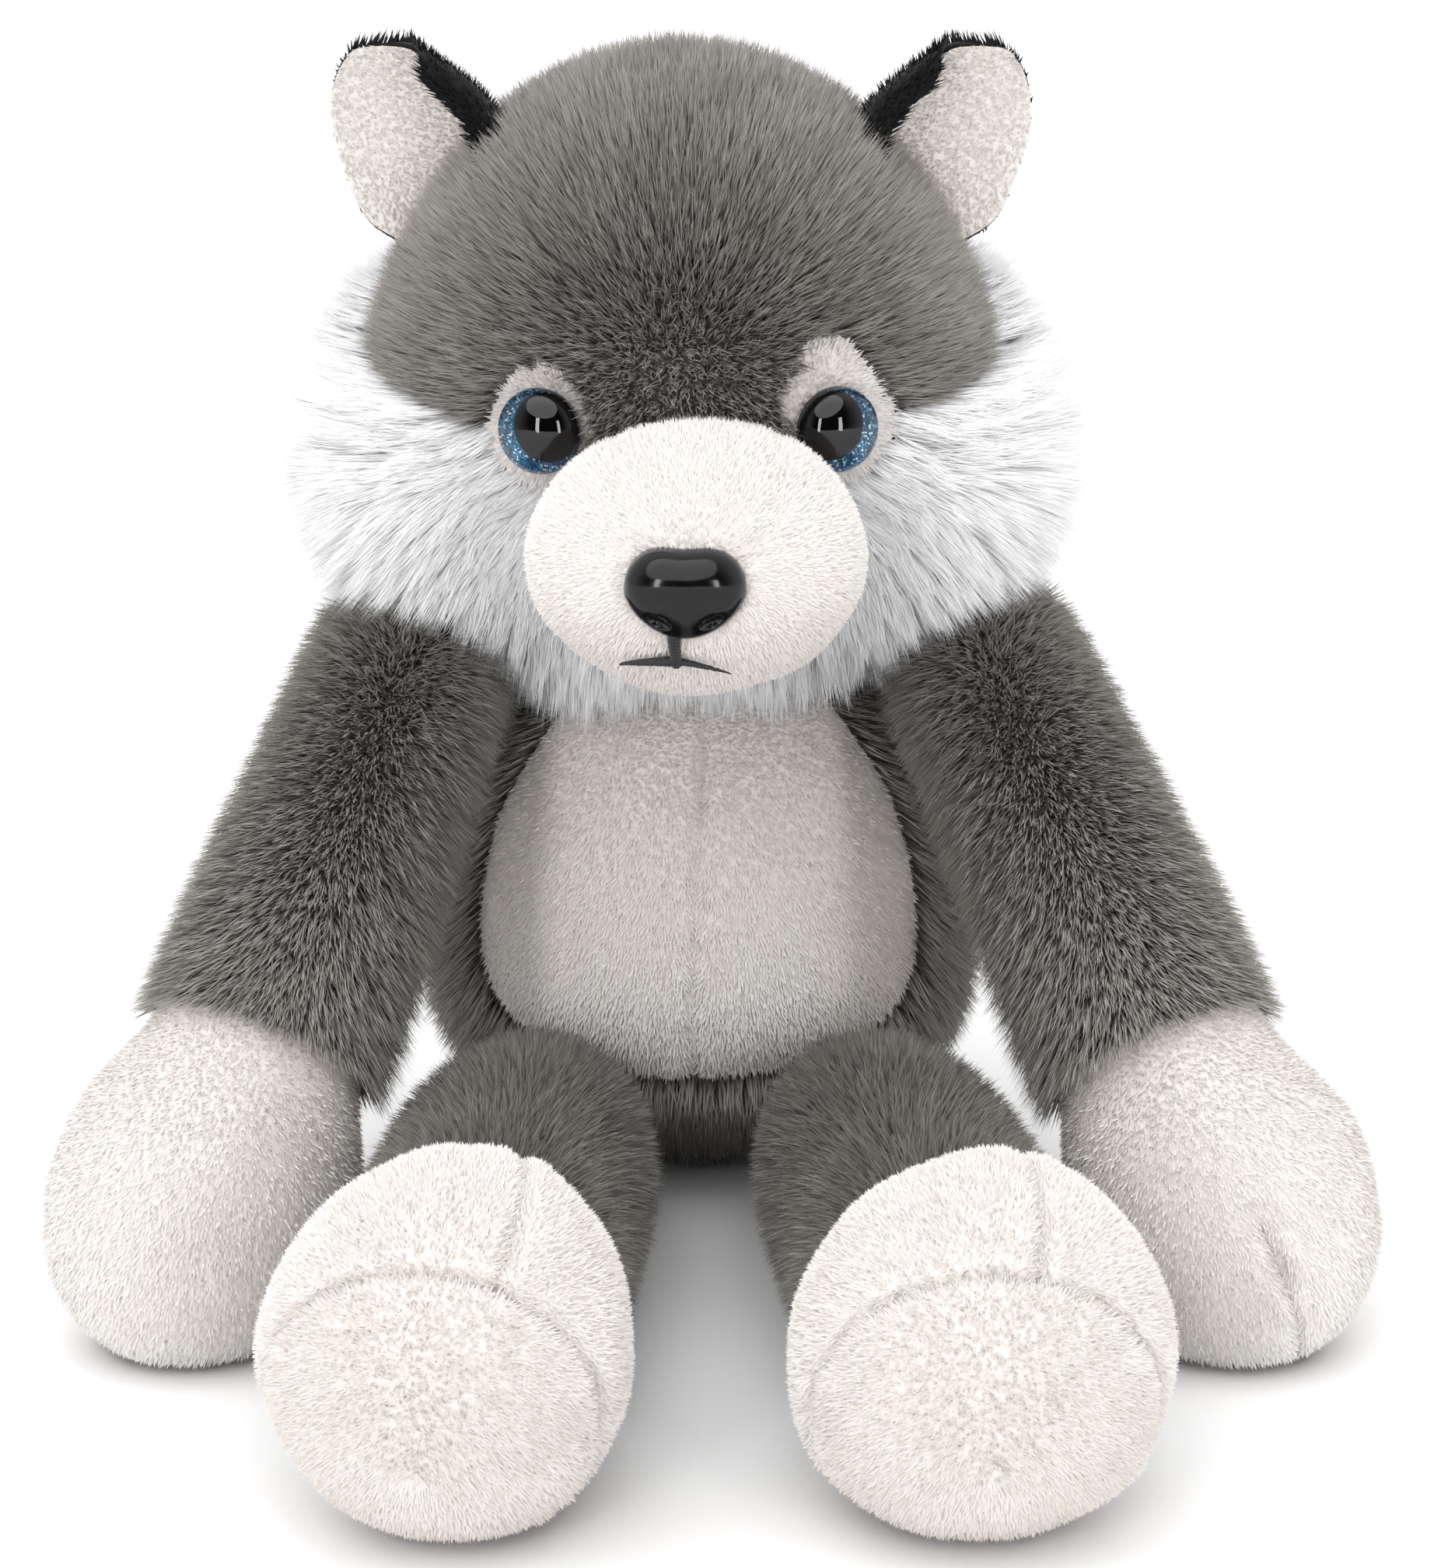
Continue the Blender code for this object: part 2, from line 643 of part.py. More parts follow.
def build_muzzle():
    form = Form(muzzle_skin, lambda row: MUZZLE_CENTRE, 0.0, 180.0)
    rows = muzzle_rows()[1:-2]

    def short(row, col):
        return SHORT_PILE

    def top_columns(row):
        edge = gusset_edge(row) - muzzle_turn(row)
        return spread(-edge, edge, 5)

    pieces = [panel("muzzle_top", form, rows, top_columns, short, "white_short_pile")]
    for side, word in ((1, "left"), (-1, "right")):
        pieces.append(panel("muzzle_side_" + word, form, rows,
                            lambda row, s=side: [s * c for c in spread(gusset_edge(row) + muzzle_turn(row),
                                                                       180.0, 6)],
                            short, "white_short_pile", side=side))
    return form, pieces


def nose_shape(angle, radius):
    """Wide and flat at the top, narrower below."""
    high = math.cos(angle)
    squareness = 1.0 / (abs(math.sin(angle)) ** 2.6 + abs(math.cos(angle)) ** 2.6) ** (1 / 2.6)
    wide = NOSE_WIDTH / 2 * (1.0 + 0.12 * high) / (NOSE_HEIGHT / 2)
    return radius * squareness * math.hypot(wide * math.sin(angle), math.cos(angle))


def on_muzzle(x, z, height):
    """The point that stands this high in front of the muzzle's skin at this x and z."""
    half_z = MUZZLE_ABOVE if z > MUZZLE_CENTRE.z else MUZZLE_BELOW
    reach = (height + MUZZLE_HALF_WIDTH, height + MUZZLE_LENGTH, height + half_z)
    part = 1.0 - ((x - MUZZLE_CENTRE.x) / reach[0]) ** 2 - ((z - MUZZLE_CENTRE.z) / reach[2]) ** 2
    return Vector((x, MUZZLE_CENTRE.y - reach[1] * math.sqrt(max(part, 0.0)), z))


def build_nose(envelope):
    """A moulded nose with two nostrils, its stem through the muzzle and a washer behind it."""
    front = MUZZLE_LENGTH + SHORT_PILE
    place = MUZZLE_CENTRE + Vector((NOSE_SHIFT, -front, NOSE_RISE))
    axes = face_axes(0.0)
    half = NOSE_HEIGHT / 2
    profile = [(0.0, -5.5), (half * 0.93, -5.5), (half, -4.6), (half, -2.6)]
    profile += [(half * math.cos(math.radians(a)) ** 0.8, -2.6 + (NOSE_DEPTH - 2.0) * math.sin(math.radians(a)))
                for a in (20, 42, 66, 90)]
    nose = turned("nose", profile, 18, place, axes, "black_plastic", nose_shape)
    stem_axis = MUZZLE_CENTRE + Vector((NOSE_SHIFT, -front, 0.0))
    stem = STEM_WIDTH / 2
    bore = stem + SEAM
    pin = turned("nose_stem", [(0.0, 0.5), (stem, 0.5), (stem, 1.0 - STEM_LENGTH), (stem - 0.6, -STEM_LENGTH),
                               (0.0, -STEM_LENGTH)], 10, stem_axis, axes, None)
    cut(nose, envelope)
    join(nose, pin)
    for side in (1, -1):
        dent = turned("nostril_%d" % (side + 1),
                      [(NOSTRIL * math.cos(math.radians(a)), NOSTRIL * math.sin(math.radians(a)))
                       for a in (-90, -45, 0, 45, 90)], 8,
                      place + Vector((side * 4.6, -2.5, -3.9)), axes, None)
        cut(nose, dent)
    top = -SHORT_PILE - 2.0
    washer("washer", "nose_", stem_axis, axes, top, bore)
    pocket = turned("nose_pocket", [(0.0, 1.0), (bore, 1.0), (bore, -SHORT_PILE + 0.1),
                                    (WASHER_WIDTH / 2 + SEAM, -SHORT_PILE + 0.1),
                                    (WASHER_WIDTH / 2 + SEAM, top - WASHER_THICK - SEAM),
                                    (bore, top - WASHER_THICK - SEAM), (bore, -STEM_LENGTH - SEAM),
                                    (0.0, -STEM_LENGTH - SEAM)], 12, stem_axis, axes, None)
    hole = turned("nose_hole", [(0.0, SHORT_PILE), (bore, SHORT_PILE), (bore, -3.0 * SHORT_PILE),
                                (0.0, -3.0 * SHORT_PILE)], 12, stem_axis, axes, None)
    return pocket, hole


def build_mouth():
    """Embroidered stem and two curved branches under the nose."""
    x0 = MUZZLE_CENTRE.x + NOSE_SHIFT + MOUTH_SHIFT
    top = MUZZLE_CENTRE.z + NOSE_RISE - NOSE_HEIGHT / 2 - 0.6
    low = top - MOUTH_STEM
    lift = SHORT_PILE + THREAD + 0.1
    path = []
    for i in range(6):
        share = 1.0 - i / 6
        path.append(on_muzzle(x0 - MOUTH_LEFT[0] * share, low - MOUTH_LEFT[1] * share ** 1.6, lift))
    path.append(on_muzzle(x0, low, lift))
    for i in range(1, 7):
        share = i / 6
        path.append(on_muzzle(x0 + MOUTH_RIGHT[0] * share, low - MOUTH_RIGHT[1] * share ** 1.6, lift))
    branches = thread("mouth_stitches", path, THREAD, "black_thread")
    stem = thread("mouth_stem", [on_muzzle(x0 + 0.05 * i, mix(top, low, i / 4), lift) for i in range(5)],
                  THREAD * 1.1, None)
    join(branches, stem)


def ear_sheet(side, s, t):
    """The middle of an ear's cloth: s across, from -1 at the rolled inner edge to 1, t from root to tip."""
    up = Vector((EAR_UP.x * side, EAR_UP.y, EAR_UP.z)).normalized()
    opens = Vector((EAR_OPENS.x * side, EAR_OPENS.y, EAR_OPENS.z))
    opens = (opens - up * opens.dot(up)).normalized()
    across = up.cross(opens) * side
    root = head_skin(EAR_FROM_FACE, side * EAR_FROM_TOP) - up * 4.0
    rise = min(max(t, 0.0), 1.0)
    share = (0.72 + 0.28 * ease(rise, 0.0, 0.4)) * math.sqrt(1.0 - rise ** 2.4)
    flat = max(s, EAR_ROLL_FROM)
    over = flat * share * EAR_HALF_WIDTH
    cup = EAR_CUP * (max(s, 0.0) ** 2 - 0.4) * (1.0 - 0.55 * rise) * share
    rolled = (EAR_ROLL_FROM - min(s, EAR_ROLL_FROM)) / (1.0 + EAR_ROLL_FROM)
    turn = math.radians(EAR_ROLL_TURN) * rolled * (1.0 - ease(rise, 0.55, 0.98))
    radius = EAR_ROLL * (1.0 - 0.3 * rise)
    over -= radius * math.sin(turn)
    cup += radius * (1.0 - math.cos(turn))
    return root + up * (EAR_HEIGHT + 4.0) * t + across * over + opens * cup


def ear_point(side, s, t, height):
    """A point this high above the middle of an ear's cloth, on the side of its opening."""
    inside = min(t, 0.96)
    over = ear_sheet(side, s + 0.04, inside) - ear_sheet(side, s - 0.04, inside)
    rise = ear_sheet(side, s, inside + 0.02) - ear_sheet(side, s, inside - 0.02)
    return ear_sheet(side, s, t) + over.cross(rise).normalized() * side * height


def ear_layer(name, side, low, high, grow, cloth):
    rows = [0.0, 0.2, 0.4, 0.6, 0.78, 0.9, 0.97, 1.0]
    columns = spread(-1.0, EAR_ROLL_FROM, 4) + [0.0, 0.5, 1.0]
    if grow:
        rows = [-grow] + rows
        columns = [-1.0 - grow] + columns + [1.0 + 2.0 * grow]
    bm = bmesh.new()
    layers = []
    for height in (high, low):
        layers.append([[bm.verts.new(ear_point(side, s, t, height)) for s in columns]
                       for t in rows])
    outer, inner = layers
    skin_faces(bm, outer, False)
    skin_faces(bm, inner, False)
    wall_faces(bm, outer[0], inner[0])
    wall_faces(bm, outer[-1], inner[-1])
    wall_faces(bm, [r[0] for r in outer], [r[0] for r in inner])
    wall_faces(bm, [r[-1] for r in outer], [r[-1] for r in inner])
    return put_object(name, bm, cloth)


# Body

def belly_edge(lat):
    """Degrees each side of the front where the belly panel ends, none below its foot."""
    if lat < BELLY_FOOT:
        return 0.0
    low = math.sqrt(1.0 - (1.0 - min((lat - BELLY_FOOT) / 26.0, 1.0)) ** 2)
    return BELLY_HALF * low - 12.0 * ease(lat, 15.0, 55.0)


def body_turn(lat):
    return math.degrees(SEAM / 2 / (BODY_HALF_WIDTH * max(math.cos(math.radians(lat)), 0.15)))


def body_pile(row, col):
    wrapped = abs((col + 180.0) % 360.0 - 180.0)
    return SHORT_PILE if wrapped < belly_edge(row) - 0.01 else GREY_PILE


def body_columns(row):
    """Columns all round the body, with one on each edge of the belly panel."""
    edge = belly_edge(row)
    left_side = spread(0.0, edge, 3)[:-1] + spread(edge, 180.0, 7)
    return left_side + [-c for c in reversed(left_side[1:-1])]


def build_body():
    form = Form(body_skin, lambda row: BODY_CENTRE, -90.0, 90.0, GREY_PILE)
    belly_rows = [BELLY_FOOT + d for d in (1.2, 4.0, 9.0, 16.0, 26.0)] + spread(10.0, 66.0, 4)
    back_rows = [-90.0, -77.0, -66.0, -54.0, -40.0, BELLY_FOOT - 2.0, BELLY_FOOT - 0.1] + belly_rows + [78.0, 90.0]
    pieces = []
    for side, word in ((1, "left"), (-1, "right")):
        pieces.append(panel("belly_" + word, form, belly_rows,
                            lambda row, s=side: [s * c for c in spread(0.0, belly_edge(row) - body_turn(row), 3)],
                            lambda r, c: SHORT_PILE, "white_short_pile", side=side))
        pieces.append(panel("body_back_" + word, form, back_rows,
                            lambda row, s=side: [s * c for c in spread(belly_edge(row) + (body_turn(row)
                                                 if belly_edge(row) else 0.0), 180.0, 7)],
                            lambda r, c: GREY_PILE, "grey_pile", side=side))
    form.rows = back_rows
    return form, pieces


def grown(pile):
    return lambda r, c: pile(r, c) + SEAM


def build_arm(points, word, body, head):
    form = arm_form(points, SHORT_PILE)
    half_gap = SEAM / 2 / form.length
    sleeve_rows = [0.0, 0.015, 0.05, 0.12] + spread(0.24, form.wrist - half_gap, 4)
    sleeve = panel("arm_" + word, form, sleeve_rows, ring_columns(12),
                   lambda r, c: mix(GREY_PILE, GREY_PILE * 0.86, ease(r, form.wrist - 0.1, form.wrist)),
                   "grey_pile", ring=True)
    paw_rows = spread(form.wrist + half_gap, 0.87, 3) + [0.93, 0.97, 0.993, 1.0]
    paw = panel("paw_" + word, form, paw_rows, ring_columns(12), lambda r, c: SHORT_PILE,
                "white_short_pile", ring=True)
    core = solid("arm_stuffing_" + word, form, sleeve_rows + paw_rows[1:], ring_columns(12), -FILL_SLACK,
                 "fibre_fill")
    cut(sleeve, body, head)
    cut(core, body, head)
    return paw


def build_leg(points, foot_centre, turn, lean, word, body):
    leg = leg_form(points)
    axes = face_axes(SOLE_DIP, turn, lean)
    foot = foot_form(foot_centre, axes)
    ankle = ANKLE_SHARE
    sleeve_rows = [0.0, 0.04, 0.1, 0.3, 0.55, ankle]
    sleeve = panel("leg_" + word, leg, sleeve_rows, ring_columns(14),
                   lambda r, c: GREY_PILE, "grey_pile", ring=True)
    cuff = solid("cuff_" + word, leg, sleeve_rows[3:-1] + [ankle + SEAM / leg.length], ring_columns(14),
                 GREY_PILE + SEAM)
    sole_rows = spread(0.0, SOLE, 4)
    sole = panel("sole_" + word, foot, sole_rows, ring_columns(16), lambda r, c: SHORT_PILE,
                 "white_short_pile", ring=True)
    seam = math.degrees(SEAM / FOOT_HALF_WIDTH)
    rows = spread(SOLE + seam, 160.0, 5)

    def half(side):
        def columns(row):
            inset = math.degrees(SEAM / 2 / (FOOT_HALF_WIDTH * math.sin(math.radians(row))))
            return [side * c for c in spread(inset, 180.0 - inset, 8)]
        return columns

    sides = ((1, "outer"), (-1, "inner")) if word == "left" else ((-1, "outer"), (1, "inner"))
    for side, name in sides:
        upper = panel("foot_%s_%s" % (name, word), foot, rows, half(side), lambda r, c: SHORT_PILE,
                      "white_short_pile")
        cut(upper, cuff)
    core = solid("leg_stuffing_" + word, leg, sleeve_rows[2:], ring_columns(14), -FILL_SLACK, "fibre_fill")
    ball = solid("foot_stuffing_" + word, foot, sole_rows + rows[1:] + [180.0], ring_columns(16), -FILL_SLACK,
                 "fibre_fill")
    cut(ball, cuff)
    cut(core, body)
    cut(sleeve, body)


def build_tail(body):
    def radius(share):
        return mix(TAIL_ROOT, TAIL_MIDDLE, ease(share, 0.0, 0.6))
    form = limb_form(TAIL, radius, TAIL_START_CAP, TAIL_END_CAP, GREY_PILE)
    rows = [0.0, 0.06, 0.14] + spread(0.3, 0.8, 2) + [0.92, 0.98, 1.0]
    shell = panel("tail", form, rows[1:], ring_columns(10), lambda r, c: GREY_PILE, "grey_pile", ring=True)
    core = solid("tail_stuffing", form, rows, ring_columns(10), -FILL_SLACK, "fibre_fill")
    cut(shell, body)
    cut(core, body)


def main():
    clear_scene()
    head, head_pieces = build_head()
    muzzle, muzzle_pieces = build_muzzle()
    head_outside = solid("head_outside", head, head_rows(), head_columns, grown(head_pile))
    head_core_cutter = solid("head_core_cutter", head, head_rows(), head_columns, 0.0)
    muzzle_outside = solid("muzzle_outside", muzzle, muzzle_rows(), muzzle_columns, SHORT_PILE + SEAM)
    muzzle_core = solid("muzzle_stuffing", muzzle, muzzle_rows(), muzzle_columns, -FILL_SLACK, "fibre_fill")
    stuffing = solid("head_stuffing", head, head_rows(), head_columns, -FILL_SLACK, "fibre_fill")
    for piece in muzzle_pieces:
        cut(piece, head_core_cutter)
    windows = []
    for side, word in ((1, "left"), (-1, "right")):
        patch, window, pocket, room = build_eye(head, side, word)
        cut(patch, muzzle_outside)
        cut(stuffing, pocket)
        windows.append(window)
        for piece in muzzle_pieces:
            cut(piece, room)
        lining = ear_layer("ear_lining_" + word, side, SEAM / 2, EAR_CLOTH, 0.0, "white_short_pile")
        back = ear_layer("ear_back_" + word, side, -EAR_CLOTH, -SEAM / 2, 0.0, "black_short_pile")
        slot = ear_layer("ear_slot_" + word, side, -EAR_CLOTH - SEAM, EAR_CLOTH + SEAM, 0.02, None)
        cut(lining, head_core_cutter)
        cut(back, head_core_cutter)
        cut(head_pieces[0], slot)
    pocket, hole = build_nose(muzzle_outside)
    cut(muzzle_core, pocket, head_core_cutter)
    for piece in muzzle_pieces:
        cut(piece, hole)
    build_mouth()
    for piece in head_pieces[:3]:
        cut(piece, muzzle_outside, *windows)

    body, body_pieces = build_body()
    body_outside = solid("body_outside", body, body.rows, body_columns, grown(body_pile))
    body_core = solid("body_stuffing", body, body.rows, body_columns, -FILL_SLACK, "fibre_fill")
    cut(body_core, head_outside)
    for piece in body_pieces:
        cut(piece, head_outside)
    build_arm(ARM_LEFT, "left", body_outside, head_outside)
    build_arm(ARM_RIGHT, "right", body_outside, head_outside)
    build_leg(LEG_LEFT, FOOT_LEFT, SOLE_TURN_LEFT, FOOT_LEAN_LEFT, "left", body_outside)
    build_leg(LEG_RIGHT, FOOT_RIGHT, -SOLE_TURN_RIGHT, FOOT_LEAN_RIGHT, "right", body_outside)
    build_tail(body_outside)


main()
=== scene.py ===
"""Look of the seated plush husky: pile, stuffed cloth, glitter eyes, moulded nose and stitches.

The forms repeat the sizes that the solids were made from, in millimetres, with the toy's own left
at +X and its face to -Y. A mesh is made in metres, with the middle of the seat at the origin. A
cloth is a sheet on the stuffed skin, and its pile is a second piece of short tapered strands.
"""
import math

import bmesh
import bpy
from mathutils import Matrix, Vector, noise


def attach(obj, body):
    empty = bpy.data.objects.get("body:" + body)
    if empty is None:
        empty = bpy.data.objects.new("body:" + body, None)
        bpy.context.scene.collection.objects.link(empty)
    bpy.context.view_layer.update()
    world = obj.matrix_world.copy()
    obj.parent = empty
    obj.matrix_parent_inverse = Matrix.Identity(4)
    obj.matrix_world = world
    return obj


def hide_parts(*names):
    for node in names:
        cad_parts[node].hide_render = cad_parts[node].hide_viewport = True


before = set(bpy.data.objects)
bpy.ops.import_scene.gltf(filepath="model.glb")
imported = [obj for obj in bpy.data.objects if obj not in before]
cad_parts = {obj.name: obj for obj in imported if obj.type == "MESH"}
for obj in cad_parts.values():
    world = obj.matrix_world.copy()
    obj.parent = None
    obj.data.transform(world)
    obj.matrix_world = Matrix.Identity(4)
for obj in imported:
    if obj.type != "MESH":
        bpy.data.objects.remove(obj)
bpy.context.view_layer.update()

bl_info = {
    "name": "Plush husky",
    "version": (1, 0, 0),
    "blender": (4, 5, 0),
    "location": "3D Viewport > Sidebar > Husky",
    "description": "Makes the pile, cloth, eyes, nose and stitches of a seated plush husky",
    "category": "Add Mesh",
}

MM = 0.001
DEGREE = math.radians(1.0)
SEAT_AT = Vector((0.0, 40.0, 0.0))
SIDES = ((1, "left"), (-1, "right"))
DOWN = Vector((0.0, 0.0, -1.0))
SEAM = 0.3              # the gap that pieces keep where they touch

# Head
HEAD_CENTRE = Vector((-2.4, 8.0, 166.0))
HEAD_HALF_WIDTH = 51.0
HEAD_HALF_DEPTH = 50.0
HEAD_ABOVE = 56.0
HEAD_BELOW = 47.0
CHEEK_BULGE = 0.16
FACE_DIP = 20.0
CROWN_BACK = 122.0
FACE_OPEN = 10.0
CROWN_PILE = 8.0
CHEEK_PILE_FACE = 5.0
CHEEK_PILE_SIDE = 22.0
CHIN_PILE = 10.0
THROAT_FRINGE = 8.5     # how much longer the white pile hangs under the muzzle

# Eyes
FACE_SHIFT = 1.6
EYE_WIDTH = 16.0
EYE_DOME = 5.2
IRIS_PLATE = 1.4
EYE_SHARE = 0.494
EYE_HEIGHT = 161.8
# How far a patch reaches from the eye's middle, every 45 degrees from the top outwards round the eye
PATCH_REACH = {1: (16.6, 12.6, 14.6, 12.0, 11.5, 10.0, 8.6, 12.6),
               -1: (11.5, 11.5, 11.4, 11.8, 11.5, 10.0, 8.6, 8.8)}
PATCH_DEPTH = 12.0      # how far behind an eye's seat its patch still counts
STEM_ROOM = 1.7         # the patch starts this far from the eye's middle, round its stem
EYE_STEM = 1.7          # the stem's radius
EYE_STEM_LENGTH = 9.0
PUPIL_SEAT = 0.2        # how deep the pupil stands in its plate
PUPIL_WIDTH = 11.0
PUPIL_RISE = 3.0
PUPIL_IN = 1.9
PUPIL_UP = 1.0

# Muzzle, nose and mouth
MUZZLE_CENTRE = Vector((0.8, -51.0, 140.5))
MUZZLE_HALF_WIDTH = 28.2
MUZZLE_LENGTH = 34.5
MUZZLE_ABOVE = 22.0
MUZZLE_BELOW = 21.6
GUSSET_AT_NOSE = 52.0
GUSSET_AT_FACE = 36.0
NOSE_WIDTH = 21.2
NOSE_HEIGHT = 15.6
NOSE_DEPTH = 8.0
NOSE_RISE = 0.8
NOSE_SAG = 1.0          # the pile presses the moulding a little lower than its stem
NOSE_SHIFT = -1.8
NOSE_SQUARE = 2.3       # 2 would be round
NOSTRIL_OUT = 4.9
NOSTRIL_DEPTH = 1.7
MOUTH_SHIFT = -2.0
MOUTH_STEM = 4.9
THREAD_LIFT = 0.8       # how far the thread's middle stands over the short pile
MOUTH_THREADS = ((0.0, 0.0, 2.4, 2.1),      # the stem: how far out, how far down, its first and last width
                 (-8.8, 1.4, 2.1, 0.7),     # the branch on the viewer's left
                 (9.2, 2.6, 1.5, 0.4))      # and on the right

# Ears
EAR_HEIGHT = 35.5
EAR_HALF_WIDTH = 19.0
EAR_CUP = 9.0
EAR_ROLL = 5.0
EAR_ROLL_FROM = -0.70
EAR_ROLL_TURN = 165.0
EAR_ROOT = 4.0          # how far the ear's cloth runs on into the head
EAR_HALF_CLOTH = 0.6    # from the middle of the ear's two layers to either ground cloth
EAR_FROM_FACE = 98.0
EAR_FROM_TOP = 51.0
EAR_UP = Vector((0.65, 0.22, 0.76))
EAR_OPENS = Vector((0.62, -0.76, 0.12))

# Body
BODY_CENTRE = Vector((1.0, 22.0, 60.0))
BODY_HALF_WIDTH = 49.0
BODY_FRONT = 46.0
BODY_BACK = 40.0
BODY_ABOVE = 56.0
BODY_BELOW = 54.5
SEAT_TUCK = 20.0
BELLY_FOOT = -31.5
BELLY_HALF = 57.0

# Limbs
ARMS = {"left": (Vector((55.0, 10.0, 112.0)), Vector((66.5, -54.0, 96.0)), Vector((107.0, -86.0, 1.0))),
        "right": (Vector((-54.0, 10.0, 113.0)), Vector((-61.5, -54.0, 98.0)), Vector((-99.0, -86.0, 1.0)))}
ARM_ROOT = 12.5
ARM_MIDDLE = 14.0
WRIST = 17.5
PAW = 25.8
PAW_LENGTH = 50.0
END_FULL = 2.3
LEGS = {"left": (Vector((31.0, 8.0, 17.0)), Vector((38.0, -60.0, 24.0)), Vector((45.0, -148.0, 28.0))),
        "right": (Vector((-28.0, 8.0, 17.0)), Vector((-32.5, -60.0, 24.0)), Vector((-38.0, -148.0, 28.0)))}
LEG_ROOT = 10.5
ANKLE = 18.6
ANKLE_SHARE = 0.955
FEET = {"left": Vector((47.5, -157.0, 31.0)), "right": Vector((-39.8, -157.0, 31.0))}
FOOT_HALF_WIDTH = 28.6
FOOT_HALF_LENGTH = 28.5
FOOT_HALF_HEIGHT = 29.0
SOLE = 66.0
SOLE_DIP = 24.0
SOLE_TURN = {"left": 0.0, "right": -8.0}
FOOT_LEAN = {"left": -16.0, "right": -27.0}

DARTS = {"left": (51.0, 0.87)}   # a dart's column, and the share of the limb where it starts
DART_TIGHT = 2.2
MUZZLE_TIGHT = 0.4

# How far a stuffed foot bulges past a round one, every 30 degrees from its top as seen from the front
FOOT_BULGE = {"right": (0.6, 1.8, 0.6, -0.8, 0.8, 2.6, 1.0, 0.0, -1.0, -0.6, -2.2, -2.1),
              "left": (-0.6, 0.2, -0.5, 0.2, 1.6, 0.5, 0.2, 2.0, 2.6, 0.2, -1.6, -2.2)}

# Tail
TAIL = (Vector((0.4, 60.0, 26.0)), Vector((1.8, 92.0, 22.0)), Vector((9.0, 112.0, 46.0)))
TAIL_ROOT = 7.0
TAIL_MIDDLE = 11.0

# Cloth
GREY_PILE = 7.0
SHORT_PILE = 3.0
STRAND_SHORT = 1.7      # how far a short strand stands over its ground
ARM_DENSITY = 0.85      # how thick the pile stands on less seen cloths, as a share of the thickest
BODY_DENSITY = 0.58
BACK_DENSITY = 0.6
BODY_COVER = 0.93       # a limb's pile ends this far into the body, as a share of its girth
FLOOR_GAP = 0.3         # the lowest that a strand or a cloth may reach
GREY_GROUND = 1.6       # height of the ground cloth over the stuffed skin
SHORT_GROUND = 1.8
LONG_GROUND = 0.5       # share of the long pile that is too thick to see into
LONG_LEAN = 0.72        # share of a long strand's length that stands off the cloth
SEAM_DIP = 1.2          # how far a short cloth sinks at its seams
SEAM_REACH = 2.4        # how far from a seam it sinks
PUCKER = 0.9            # the folds that the stitches draw beside a seam
PUCKER_REACH = 9.0
PUCKER_PITCH = 4.5
LUMPS = 0.7             # unevenness of the stuffing
LUMP_SIZE = 15.0

# Photograph's camera, found by matching the outline
CAMERA_PLACE = Vector((4.5, -777.4, 278.9))
CAMERA_DIP = 14.0
CAMERA_LENS = 93.64
SENSOR_HEIGHT = 36.0

# Studio, in metres and watts
FLOOR_HALF = 6.0
SUN_STRENGTH = 2.2
SUN_SOFTNESS = 70.0
SUN_TURN = (28.0, -8.0, 0.0)
BOX_AIM = Vector((0.0, -0.08, 0.1))
BOX_SIZE = (0.34, 1.36)
BOXES = (("Left box", Vector((-1.0, -2.3, 0.62)), 17.0), ("Right box", Vector((1.2, -2.2, 0.5)), 15.5))
ROOM_FRONT = (0.0, -0.96, 0.28)     # the room is dark this way, so that eyes and nose mirror the boxes alone
ROOM_LIGHT = (1.0, 0.05)            # its light behind the toy, and in front of it


def mix(a, b, share):
    return a + (b - a) * share


def ease(x, low, high):
    """Smooth 0 to 1 as x goes from low to high."""
    t = min(max((x - low) / (high - low), 0.0), 1.0)
    return t * t * (3.0 - 2.0 * t)


def spread(low, high, steps):
    return [mix(low, high, i / steps) for i in range(steps + 1)]


def round_table(values, degrees):
    """A value between those given at equal steps round a circle."""
    where = degrees % 360.0 / (360.0 / len(values))
    low = int(where) % len(values)
    return mix(values[low], values[(low + 1) % len(values)], ease(where - int(where), 0.0, 1.0))


def wrap(col):
    return (col + 180.0) % 360.0 - 180.0


